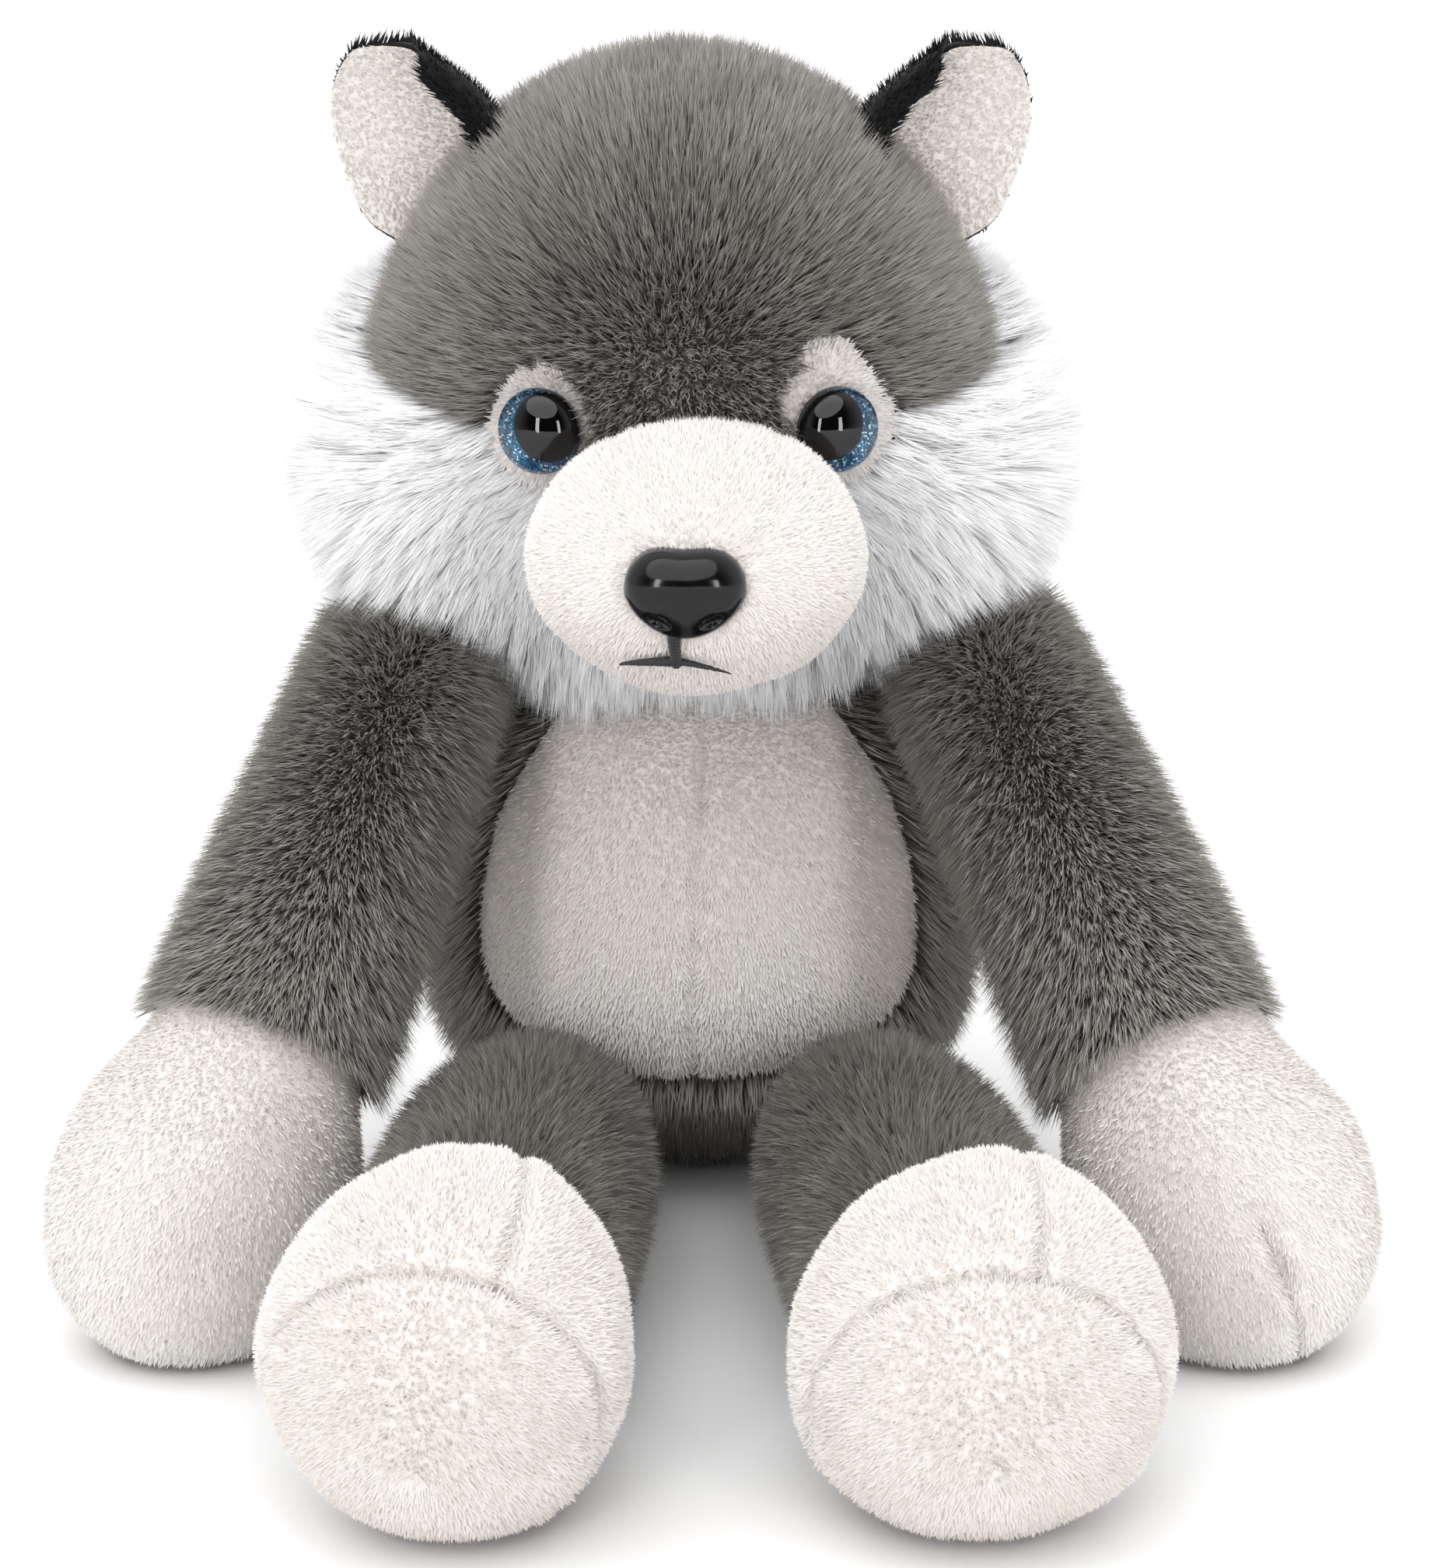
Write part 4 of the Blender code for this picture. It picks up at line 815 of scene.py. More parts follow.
def furred(name, form, rows, columns, facts, kind, seed, height=None, ring=False, keep=None, density=1.0):
    """One sewn cloth of a stuffed form, and the pile on it."""
    if height is None:
        ground = {"grey": GREY_GROUND, "short": SHORT_GROUND}[kind]
        height = lambda r, c: ground
    cloth = lay_cloth(name + "_cloth", rows, columns,
                      lambda r, c: form.at(r, c, height(r, c), kind == "short"), form.normal, ring, keep,
                      facts)
    finish_cloth(cloth, name, kind, seed, density)


def finish_cloth(cloth, name, kind, seed, density=1.0):
    """Grows a cloth's pile, and puts the cloth in its node's place. Thinner pile has wider strands."""
    pile, ground = pile_finish(kind)
    sizes = dict(PILES[kind])
    slot = sizes.pop("slot")
    sizes["Per_square_cm"] *= density * bpy.context.scene.husky_pile.thickness
    sizes["Width"] /= math.sqrt(density)
    grow_pile(cloth, name + "_pile", slot, pile, seed, **sizes)
    for word in SPARE:
        if word in cloth.data.attributes:
            cloth.data.attributes.remove(cloth.data.attributes[word])
    dress(cloth, slot, ground, name)


def inside_muzzle(p):
    """True for a point more than 1 mm inside the muzzle, where the head needs no cloth."""
    d = p - MUZZLE_CENTRE
    half_z = MUZZLE_ABOVE if d.z > 0 else MUZZLE_BELOW
    return ((d.x / (MUZZLE_HALF_WIDTH - 1.0)) ** 2 + (d.y / (MUZZLE_LENGTH - 1.0)) ** 2
            + (d.z / (half_z - 1.0)) ** 2) < 1.0


def inside_body(p):
    """True for a point well inside the body, where a limb needs no pile."""
    d = p - BODY_CENTRE
    high = d.z / (BODY_ABOVE if d.z > 0 else BODY_BELOW)
    if abs(high) >= 1.0:
        return False
    lat = math.asin(high)
    girth = math.cos(lat) ** 0.75 * (1.0 - 0.13 * high)
    back = d.y - SEAT_TUCK * ease(-math.degrees(lat), 0.0, 60.0) ** 2
    deep = BODY_FRONT if back < 0 else BODY_BACK
    return math.hypot(d.x / BODY_HALF_WIDTH, back / deep) < girth * BODY_COVER


def head_spot(x, z):
    """The row and the column on the front of the head at this x and z."""
    out, up, right = HEAD_AXES
    y = HEAD_CENTRE.y - HEAD_HALF_DEPTH
    for _ in range(20):
        d = (Vector((x, y, z)) - HEAD_CENTRE).normalized()
        row = math.degrees(math.acos(d.dot(out)))
        col = math.degrees(math.atan2(d.dot(right), d.dot(up)))
        y += head_skin(row, col).y - (HEAD_CENTRE + d * (Vector((x, y, z)) - HEAD_CENTRE).length).y
    return row, col


HEAD = Form(head_skin, lambda row: HEAD_CENTRE, 0.0, 180.0)
MUZZLE = Form(muzzle_skin, lambda row: MUZZLE_CENTRE, 0.0, 180.0, None, (muzzle_seam,))
MUZZLE.tight = MUZZLE_TIGHT
BODY = Form(body_skin, lambda row: BODY_CENTRE, -90.0, 90.0, FLOOR_GAP, (belly_seam,))


def eye_frame(side):
    """An eye's seat on the head's skin, and its axis out, its up and its right."""
    row, col = head_spot(HEAD_CENTRE.x + FACE_SHIFT + side * EYE_SHARE * HEAD_HALF_WIDTH, EYE_HEIGHT)
    out = HEAD.normal(row, col)
    left = out.cross(Vector((0.0, 0.0, 1.0))).normalized()
    up = left.cross(out)
    return HEAD.at(row, col, 0.0), (out, up if up.z > 0 else -up, -left)


def patch_reach(side, turn):
    """How far a patch reaches from the eye's middle, from straight up and on towards the toy's side."""
    return round_table(PATCH_REACH[side], math.degrees(turn) * side)


def patch_away(p):
    """How far a point of the head lies outside the nearer eye patch, in mm, and less than 0 inside it."""
    away = 99.0
    for side, _ in SIDES:
        spot, (out, up, right) = eye_frame(side)
        d = p - spot
        x, z = d.dot(right), d.dot(up)
        if d.dot(out) > -PATCH_DEPTH:
            away = min(away, math.hypot(x, z) - patch_reach(side, math.atan2(x, z)))
    return away


def cheek_ground(row, col):
    """The long pile is too thick to see into, so its ground rises between the cloth's edges."""
    edge = crown_edge(row)
    rise = ease(abs(col), edge, edge + 20.0) * ease(CROWN_BACK - row, 0.0, 16.0)
    rise *= ease(patch_away(head_skin(row, col)), 0.0, 10.0)
    return 1.2 + LONG_GROUND * cheek_pile(row, col) * rise


def mottle(point, size=11.0, depth=0.16):
    """A slow change of tint over the cloth."""
    return depth * noise.noise(point / size)


def head_open(p):
    return not inside_muzzle(p) and patch_away(p) >= 0.0


class HUSKY_OT_head(bpy.types.Operator):
    """Makes the grey crown, the grey back of the head and the two white cheeks"""
    bl_idname = "husky.head"
    bl_label = "Head"

    def execute(self, context):
        rows = spread(FACE_OPEN, CROWN_BACK, 44)

        def crown(r, c, p, n):
            lie = flow(HEAD, r, c, n, mix(0.1, 0.55, ease(r, 25.0, 80.0)), DOWN * 0.1)
            tint = mix(0.75, 0.42, ease(r, 20.0, 60.0)) + mottle(p, 9.0, 0.24)
            return lie, mix(6.0, CROWN_PILE * 1.12, ease(r, 24.0, 50.0)), 1.0, tint

        def back(r, c, p, n):
            return flow(HEAD, r, c, n, 0.15, DOWN * 0.5), back_pile(r, wrap(c)) * 1.1, 1.0, 0.5 + mottle(p)

        def cheek(r, c, p, n):
            low = ease(abs(c), 100.0, 170.0)
            lie = flow(HEAD, r, c, n, mix(0.42, 0.2, low), DOWN * 0.36)
            rest = max(cheek_pile(r, c) * 1.12 - cheek_ground(r, c), 4.0)
            throat = ease(abs(c), 136.0, 156.0) * ease(r, 24.0, 32.0) * ease(-r, -90.0, -62.0)
            lie = lie + Vector((0.0, -0.15, -0.3)) * throat
            return lie, (rest + THROAT_FRINGE * throat) / LONG_LEAN, 1.0, 0.6

        furred("head_crown", HEAD, rows, lambda r: spread(-crown_edge(r), crown_edge(r), 52), crown,
               "grey", 1, keep=head_open)
        furred("head_back", HEAD, spread(CROWN_BACK, 180.0, 16), lambda r: spread(-180.0, 175.0, 71), back,
               "grey", 2, ring=True, density=BACK_DENSITY)
        for side, word in SIDES:
            furred("cheek_" + word, HEAD, rows,
                   lambda r: [side * c for c in spread(crown_edge(r), 180.0, 30)], cheek, "long", 3 + side,
                   keep=head_open, height=cheek_ground)
        return {"FINISHED"}


class HUSKY_OT_patches(bpy.types.Operator):
    """Makes the short white patches round the eyes"""
    bl_idname = "husky.patches"
    bl_label = "Eye patches"

    def execute(self, context):
        out, up, right = HEAD_AXES
        for side, word in SIDES:
            spot, (_, eye_up, eye_right) = eye_frame(side)

            def skin(share, turn):
                a = math.radians(turn)
                reach = mix(STEM_ROOM, patch_reach(side, a) + 0.6, share)
                away = (eye_up * math.cos(a) + eye_right * math.sin(a)) * reach
                d = (spot + away - HEAD_CENTRE).normalized()
                row = math.degrees(math.acos(min(max(d.dot(out), -1.0), 1.0)))
                return HEAD.at(row, math.degrees(math.atan2(d.dot(right), d.dot(up))), 0.0)

            form = Form(skin, lambda row: HEAD_CENTRE, 0.0, 1.0)

            def facts(r, c, p, n):
                return flow(form, r, c, n, 0.5, DOWN * 0.1), 2.0, 1.0 if r > 0.4 else 0.0, 0.95

            furred("brow_patch_" + word, form, spread(0.0, 1.0, 12), lambda r: spread(0.0, 350.0, 35), facts,
                   "short", 11 + side, ring=True, keep=lambda p: not inside_muzzle(p))
        return {"FINISHED"}


class HUSKY_OT_muzzle(bpy.types.Operator):
    """Makes the muzzle's gusset and its two sides"""
    bl_idname = "husky.muzzle"
    bl_label = "Muzzle"

    def execute(self, context):
        rows = spread(0.0, 122.0, 58)

        def facts(r, c, p, n):
            # Painted shade: the pile is tinted darker where the muzzle faces down
            tint = 0.75 - 0.4 * ease(-n.z, 0.1, 0.8)
            return flow(MUZZLE, r, c, n, 0.5, DOWN * 0.15), STRAND_SHORT, 1.0, tint

        furred("muzzle_top", MUZZLE, rows, lambda r: spread(-gusset_edge(r), gusset_edge(r), 32), facts,
               "short", 21)
        for side, word in SIDES:
            furred("muzzle_side_" + word, MUZZLE, rows,
                   lambda r: [side * c for c in spread(gusset_edge(r), 180.0, 42)], facts, "short", 22 + side)
        return {"FINISHED"}


class HUSKY_OT_body(bpy.types.Operator):
    """Makes the belly's halves and the grey back and sides"""
    bl_idname = "husky.body"
    bl_label = "Body"

    def execute(self, context):
        belly_rows = spread(BELLY_FOOT + 0.4, BELLY_FOOT + 26.0, 20) + spread(BELLY_FOOT + 27.2, 66.0, 54)
        back_rows = spread(-90.0, BELLY_FOOT, 20) + belly_rows[::2] + spread(68.0, 88.0, 6)

        def belly(r, c, p, n):
            # Painted light and shade: whitest in a band left of the belly's middle, darker towards its sides
            # and lower down; the mottle is the cloth's own
            shade = mix(0.95, 0.2, ease(abs(c + 6.0), 20.0, 54.0)) - 0.1 * ease(-r, 0.0, 28.0)
            return flow(BODY, r, c, n, 0.0, DOWN * 0.6), 1.8, 1.0, shade + mottle(p, 14.0, 0.2)

        def back(r, c, p, n):
            full = GREY_PILE * (1.25 + 0.3 * ease(abs(n.x), 0.6, 0.95) * ease(-r, -25.0, 5.0))
            return flow(BODY, r, c, n, 0.0, DOWN * 0.5), full, 1.0, 0.5 + mottle(p)

        for side, word in SIDES:
            def belly_columns(r):
                return [side * c for c in spread(side * belly_middle(r), max(belly_edge(r), 2.0), 36)]

            furred("belly_" + word, BODY, belly_rows, belly_columns, belly, "short", 31 + side)
            furred("body_back_" + word, BODY, back_rows,
                   lambda r: [side * c for c in spread(belly_edge(r), 180.0, 26)], back, "grey", 35 + side,
                   density=BODY_DENSITY)
        return {"FINISHED"}


def dart_seam(form, dart):
    """A seam that runs down a paw at one column, from one share of the limb to its end."""
    turn, start = dart

    def seam(row, col):
        if row < start:
            return PUCKER_REACH, 0.0
        fade = 4.0 * (1.0 - ease(row, start, start + 0.03))
        return abs(wrap(col - turn)) * PAW * DEGREE + fade, row * form.length
    return seam


class HUSKY_OT_arms(bpy.types.Operator):
    """Makes the grey arms and the white paws"""
    bl_idname = "husky.arms"
    bl_label = "Arms"

    def execute(self, context):
        for side, word in SIDES:
            form = arm_form(ARMS[word])
            if word in DARTS:
                form.seams = (dart_seam(form, DARTS[word]),)
                form.tight = DART_TIGHT

            def sleeve(r, c, p, n):
                full = GREY_PILE * (1.3 + 0.35 * ease(-side * n.x, 0.3, 0.9))
                # Painted light: the arms' grey is tinted lighter than the body's, to make up for the less
                # light that reaches them
                return flow(form, r, c, n, 0.5, DOWN * 0.1), full, 1.0, 0.9 + mottle(p)

            def paw(r, c, p, n):
                return flow(form, r, c, n, 0.6, Vector()), STRAND_SHORT, 1.0, 0.85 + mottle(p)

            furred("arm_" + word, form, spread(0.002, form.wrist, 44), lambda r: spread(0.0, 354.0, 59),
                   sleeve, "grey", 41 + side, ring=True, density=ARM_DENSITY)
            furred("paw_" + word, form, spread(form.wrist, 0.93, 34) + spread(0.936, 0.999, 18),
                   lambda r: spread(0.0, 357.0, 119), paw, "short", 45 + side, ring=True, density=ARM_DENSITY)
        return {"FINISHED"}


class HUSKY_OT_legs(bpy.types.Operator):
    """Makes the grey legs and the white feet"""
    bl_idname = "husky.legs"
    bl_label = "Legs"

    def execute(self, context):
        for side, word in SIDES:
            leg, foot = leg_form(LEGS[word]), foot_form(word)

            def sleeve(r, c, p, n):
                hidden = (p - FEET[word]).length < FOOT_HALF_WIDTH or inside_body(p)
                return (flow(leg, r, c, n, 0.45, DOWN * 0.1), GREY_PILE * 1.25, 0.0 if hidden else 1.0,
                        0.5 + mottle(p))

            def short(r, c, p, n):
                # Painted shade: the pile is tinted darker on the sole and lighter over the top of the foot;
                # the mottle is the cloth's own
                tint = mix(0.2, 0.6, ease(r, SOLE - 20.0, SOLE + 15.0)) + mottle(p)
                return flow(foot, r, c, n, 0.4, DOWN * 0.3), STRAND_SHORT, 1.0, tint

            furred("leg_" + word, leg, spread(0.01, ANKLE_SHARE, 36), lambda r: spread(0.0, 353.0, 53),
                   sleeve, "grey", 51 + side, ring=True, density=BODY_DENSITY)
            furred("sole_" + word, foot, spread(0.0, SOLE - 6.0, 18) + spread(SOLE - 5.0, SOLE, 6),
                   lambda r: spread(0.0, 357.0, 119), short, "short", 55 + side, ring=True)
            # Closer lines beside the seams, which are narrow
            turns = spread(0.0, 7.0, 5) + spread(10.0, 170.0, 40) + spread(173.0, 180.0, 5)
            foot_rows = spread(SOLE, SOLE + 6.0, 6) + spread(SOLE + 8.0, 176.0, 44)
            for half, name in ((side, "outer"), (-side, "inner")):
                furred("foot_%s_%s" % (name, word), foot, foot_rows, lambda r: [half * c for c in turns],
                       short, "short", 60 + 2 * side + half)
        return {"FINISHED"}


class HUSKY_OT_tail(bpy.types.Operator):
    """Makes the grey tail"""
    bl_idname = "husky.tail"
    bl_label = "Tail"

    def execute(self, context):
        form = tail_form()

        def facts(r, c, p, n):
            return flow(form, r, c, n, 0.5, Vector()), GREY_PILE * 1.3, 1.0, 0.5 + mottle(p)

        furred("tail", form, spread(0.01, 0.995, 30), lambda r: spread(0.0, 350.0, 35), facts, "grey", 71,
               ring=True, density=BACK_DENSITY)
        return {"FINISHED"}


def ear_sheet(side, s, t):
    """The middle of an ear's cloth: s across, from -1 at the rolled inner edge to 1, t from root to tip."""
    up = Vector((EAR_UP.x * side, EAR_UP.y, EAR_UP.z)).normalized()
    opens = Vector((EAR_OPENS.x * side, EAR_OPENS.y, EAR_OPENS.z))
    opens = (opens - up * opens.dot(up)).normalized()
    across = up.cross(opens) * side
    root = head_skin(EAR_FROM_FACE, side * EAR_FROM_TOP) - up * EAR_ROOT
    rise = min(max(t, 0.0), 1.0)
    share = (0.72 + 0.28 * ease(rise, 0.0, 0.4)) * math.sqrt(1.0 - rise ** 2.4)
    over = max(s, EAR_ROLL_FROM) * share * EAR_HALF_WIDTH
    cup = EAR_CUP * (max(s, 0.0) ** 2 - 0.4) * (1.0 - 0.55 * rise) * share
    rolled = (EAR_ROLL_FROM - min(s, EAR_ROLL_FROM)) / (1.0 + EAR_ROLL_FROM)
    turn = math.radians(EAR_ROLL_TURN) * rolled * (1.0 - ease(rise, 0.55, 0.98))
    radius = EAR_ROLL * (1.0 - 0.3 * rise)
    over -= radius * math.sin(turn)
    cup += radius * (1.0 - math.cos(turn))
    return root + up * (EAR_HEIGHT + EAR_ROOT) * t + across * over + opens * cup


def ear_across(side, s, t):
    return ear_sheet(side, s + 0.04, min(t, 0.96)) - ear_sheet(side, s - 0.04, min(t, 0.96))


def ear_out(side, s, t):
    inside = min(t, 0.96)
    rise = ear_sheet(side, s, inside + 0.02) - ear_sheet(side, s, inside - 0.02)
    return ear_across(side, s, t).cross(rise).normalized() * side


class HUSKY_OT_ears(bpy.types.Operator):
    """Makes the white ear linings and the black ear backs"""
    bl_idname = "husky.ears"
    bl_label = "Ears"

    def execute(self, context):
        rows, columns = spread(0.0, 0.97, 22) + [0.985, 0.995, 1.0], spread(-1.0, 1.0, 22)
        for side, word in SIDES:
            def lining(t, s, p, n):
                # Painted shade: the lining is tinted darker along its fold by the rolled inner edge and
                # towards its root
                tint = 0.1 + 0.6 * ease(s, -0.5, 0.5) * ease(t, 0.1, 0.7)
                return Vector((0.2 * side, 0.0, 0.4)), 1.5, 1.0, tint

            def back(t, s, p, n):
                # Longer at the rim, where it curls over the lining
                rim = max(ease(-s, 0.75, 1.0), ease(t, 0.7, 0.97) * ease(-s, -0.5, 0.1))
                curl = ear_across(side, s, t).normalized() * (1.2 if s < 0.0 else 0.0)
                lie = Vector((0.1 * side, 0.0, 0.3)) - (DOWN * 0.8 + curl) * rim
                return lie, mix(1.9, 4.0, rim), 1.0, 0.5

            for layer, way, kind, facts in (("lining", 1, "short", lining), ("back", -1, "black", back)):
                def place(t, s):
                    return ear_sheet(side, s, t) + ear_out(side, s, t) * way * EAR_HALF_CLOTH

                name = "ear_%s_%s" % (layer, word)
                cloth = lay_cloth(name + "_cloth", rows, lambda r: columns, place,
                                  lambda t, s: ear_out(side, s, t) * way, facts=facts)
                finish_cloth(cloth, name, kind, 81 + side)
        return {"FINISHED"}


def turned(name, profile, count, place, axes, shape=None, relief=None):
    """A piece turned from (radius, height) pairs round an axis, in mm.

    shape(angle, radius) widens a ring, and relief(x, y, height) moves its points along the axis.
    """
    out, up, right = axes
    bm = bmesh.new()
    rings = []
    for radius, height in profile:
        if radius == 0.0:
            high = relief(0.0, 0.0, height) if relief else height
            rings.append([bm.verts.new(metres(place + out * high))])
            continue
        ring = []
        for j in range(count):
            a = 2 * math.pi * j / count
            wide = shape(a, radius) if shape else radius
            x, y = wide * math.sin(a), wide * math.cos(a)
            high = relief(x, y, height) if relief else height
            ring.append(bm.verts.new(metres(place + out * high + up * y + right * x)))
        rings.append(ring)
    for low, high in zip(rings, rings[1:]):
        for j in range(count):
            k = (j + 1) % count
            corners = [low[j % len(low)], low[k % len(low)], high[k % len(high)], high[j % len(high)]]
            bm.faces.new(list(dict.fromkeys(corners)))
    bmesh.ops.recalc_face_normals(bm, faces=bm.faces)
    mesh = bpy.data.meshes.new(name)
    bm.to_mesh(mesh)
    bm.free()
    for face in mesh.polygons:
        face.use_smooth = True
    return new_object(name, mesh)


def dome_rings(radius, base, height, steps=18):
    """Rings of a closed low dome, from the middle of its flat side to its top."""
    rings = [(0.0, base), (radius * 0.5, base), (radius, base)]
    for a in spread(0.0, 90.0, steps):
        rings.append((radius * math.cos(math.radians(a)) if a < 90.0 else 0.0,
                      base + 0.3 + height * math.sin(math.radians(a))))
    return rings


def glitter_material():
    """Blue glitter set in clear lacquer: flat flakes that each catch the light their own way, the palest of
    them painted sparkle.
    """
    made, tree, shader = start_material("Blue glitter under clear acrylic", Roughness=0.3, Metallic=0.35)
    shader.inputs["Specular IOR Level"].default_value = 0.2
    where = add_node(tree, "ShaderNodeTexCoord")
    flakes = add_node(tree, "ShaderNodeTexVoronoi", {"Vector": where.outputs["Object"], "Scale": 1.0 / FLAKE})
    luck = add_node(tree, "ShaderNodeSeparateXYZ", {0: flakes.outputs["Color"]})
    ramp = add_node(tree, "ShaderNodeValToRGB", {0: luck})
    ramp.color_ramp.interpolation = "CONSTANT"
    for count, (place, code) in enumerate(GLITTER_AND_SPARKLE):
        stop = ramp.color_ramp.elements[0] if count == 0 else ramp.color_ramp.elements.new(place)
        stop.position, stop.color = place, linear(code)
    ramp.color_ramp.elements.remove(ramp.color_ramp.elements[-1])
    rim = add_node(tree, "ShaderNodeAttribute", attribute_name="rim")
    tone = add_node(tree, "ShaderNodeMix", {"Factor": rim.outputs["Fac"], 6: ramp.outputs[0],
                                            7: linear("#0b1218")}, data_type="RGBA")
    tilt = add_node(tree, "ShaderNodeBump", {"Height": luck.outputs[1], "Strength": 0.35,
                                             "Distance": 0.2 * MM})
    tree.links.new(tone.outputs[2], shader.inputs["Base Color"])
    tree.links.new(tilt.outputs[0], shader.inputs["Normal"])
    return made


def gloss_material(name, code, rough, wear, shine=0.35):
    """Moulded plastic: an even colour, with a slow change of gloss and a faint wave from handling."""
    made, tree, shader = start_material(name, Base_Color=linear(code), IOR=1.5)
    shader.inputs["Specular IOR Level"].default_value = shine
    where = add_node(tree, "ShaderNodeTexCoord")
    cloud = add_node(tree, "ShaderNodeTexNoise", {"Vector": where.outputs["Object"], "Detail": 4.0,
                                                  "Scale": 1.0 / (WEAR_SIZE * MM)})
    span = add_node(tree, "ShaderNodeMapRange", {0: cloud, 1: 0.3, 2: 0.7, 3: rough, 4: rough + wear})
    bump = add_node(tree, "ShaderNodeBump", {"Height": cloud, "Strength": 0.06, "Distance": 0.1 * MM})
    tree.links.new(span.outputs[0], shader.inputs["Roughness"])
    tree.links.new(bump.outputs[0], shader.inputs["Normal"])
    return made


class HUSKY_OT_eyes(bpy.types.Operator):
    """Makes the glitter plates, the black pupils and the clear domes of the safety eyes"""
    bl_idname = "husky.eyes"
    bl_label = "Eyes"

    def execute(self, context):
        # Polished acrylic: clear with sharp reflections, a little softer where it is handled
        clear, tree, shader = start_material("Polished clear acrylic dome", Transmission_Weight=1.0, IOR=1.49)
        shader.inputs["Specular IOR Level"].default_value = 0.35
        where = add_node(tree, "ShaderNodeTexCoord")
        haze = add_node(tree, "ShaderNodeTexNoise", {"Vector": where.outputs["Object"], "Scale": 0.5 / MM})
        span = add_node(tree, "ShaderNodeMapRange", {0: haze, 1: 0.3, 2: 0.7, 3: 0.0, 4: 0.03})
        tree.links.new(span.outputs[0], shader.inputs["Roughness"])
        glitter = glitter_material()
        # Paint set in the acrylic has no gloss of its own, so the pupil shows the dome's reflections alone
        black = gloss_material("Black paint under clear acrylic", "#040405", 0.6, 0.1, shine=0.0)
        half, top = EYE_WIDTH / 2, IRIS_PLATE - 0.2
        edge = half - 0.25
        profile = [(0.0, top), (2.0, top), (edge - 0.7, top), (edge - 0.5, top), (edge, top), (edge, 0.0),
                   (EYE_STEM, 0.0), (EYE_STEM, -EYE_STEM_LENGTH), (0.0, -EYE_STEM_LENGTH)]
        for side, word in SIDES:
            spot, axes = eye_frame(side)
            seat = spot + axes[0] * (SHORT_PILE + SEAM)
            rings = dome_rings(half, IRIS_PLATE - 0.5, EYE_DOME + 0.8, 24)
            dome = turned("eye_dome_" + word, rings, 96, seat, axes)
            dress(dome, "clear_plastic", clear, "eye_" + word)
            plate = turned("iris_plate_" + word, profile, 96, seat, axes)
            rim = plate.data.attributes.new("rim", "FLOAT", "POINT")
            for point, vertex in zip(rim.data, plate.data.vertices):
                away = vertex.co - metres(seat)
                flat = (away - axes[0] * away.dot(axes[0])).length / MM
                point.value = ease(flat, edge - 0.6, edge - 0.5)
            dress(plate, "blue_glitter", glitter, "iris_" + word)
            shift = axes[2] * (-side * PUPIL_IN) + axes[1] * PUPIL_UP
            pupil = turned("pupil_" + word, dome_rings(PUPIL_WIDTH / 2, top - PUPIL_SEAT, PUPIL_RISE, 16), 72,
                           seat + shift, axes)
            dress(pupil, "black_plastic", black)
        return {"FINISHED"}


def nose_shape(angle, radius):
    """Wide and flat at the top, narrower below."""
    high = math.cos(angle)
    square = 1.0 / (abs(math.sin(angle)) ** NOSE_SQUARE + abs(high) ** NOSE_SQUARE) ** (1 / NOSE_SQUARE)
    wide = NOSE_WIDTH / NOSE_HEIGHT * (1.0 + 0.08 * high - 0.24 * max(-high, 0.0))
    return radius * square * math.hypot(wide * math.sin(angle), high)


def nose_relief(x, y, height):
    """A soft ridge across the nose and a comma-shaped nostril low on each side."""
    if height < -2.0:
        return height
    ridge = 0.35 * math.exp(-((y - 2.8) / 2.2) ** 2)
    side = abs(x) - NOSTRIL_OUT
    dent = math.exp(-((side / 1.7) ** 2 + ((y + 4.0 - 0.35 * side) / 1.0) ** 2) ** 1.3)
    wing = 0.3 * math.exp(-((side / 2.6) ** 2 + ((y + 2.4) / 1.4) ** 2))
    return height + ridge + wing - NOSTRIL_DEPTH * dent


class HUSKY_OT_nose(bpy.types.Operator):
    """Makes the moulded nose with its nostrils"""
    bl_idname = "husky.nose"
    bl_label = "Nose"

    def execute(self, context):
        place = MUZZLE_CENTRE + Vector((NOSE_SHIFT, -(MUZZLE_LENGTH + SHORT_PILE), NOSE_RISE - NOSE_SAG))
        half = NOSE_HEIGHT / 2
        profile = [(0.0, -6.0), (half * 0.9, -6.0), (half * 0.98, -5.2), (half, -4.6), (half, -2.6)]
        profile += [(half * math.cos(math.radians(a)) ** 0.7 if a < 90.0 else 0.0,
                     -2.6 + (NOSE_DEPTH - 2.0) * math.sin(math.radians(a))) for a in spread(4.0, 90.0, 34)]
        nose = turned("nose_moulding", profile, 120, place, face_axes(0.0), nose_shape, nose_relief)
        # Injection moulded plastic, polished: a near black with sharp reflections
        gloss = gloss_material("Moulded black gloss plastic", "#08080a", 0.1, 0.08)
        dress(nose, "black_plastic", gloss, "nose")
        return {"FINISHED"}


def on_muzzle(x, z, height):
    """The point that stands this high in front of the muzzle's skin at this x and z."""
    half_z = MUZZLE_ABOVE if z > MUZZLE_CENTRE.z else MUZZLE_BELOW
    reach = (height + MUZZLE_HALF_WIDTH, height + MUZZLE_LENGTH, height + half_z)
    part = 1.0 - ((x - MUZZLE_CENTRE.x) / reach[0]) ** 2 - ((z - MUZZLE_CENTRE.z) / reach[2]) ** 2
    return Vector((x, MUZZLE_CENTRE.y - reach[1] * math.sqrt(max(part, 0.0)), z))


def stitch_mesh():
    """One stitch of thread: a plump grain along Z, a unit long and a unit thick."""
    mesh = bpy.data.meshes.new("stitch")
    bm = bmesh.new()
    bmesh.ops.create_uvsphere(bm, u_segments=8, v_segments=6, radius=0.5)
    bm.to_mesh(mesh)
    bm.free()
    for face in mesh.polygons:
        face.use_smooth = True
    return mesh


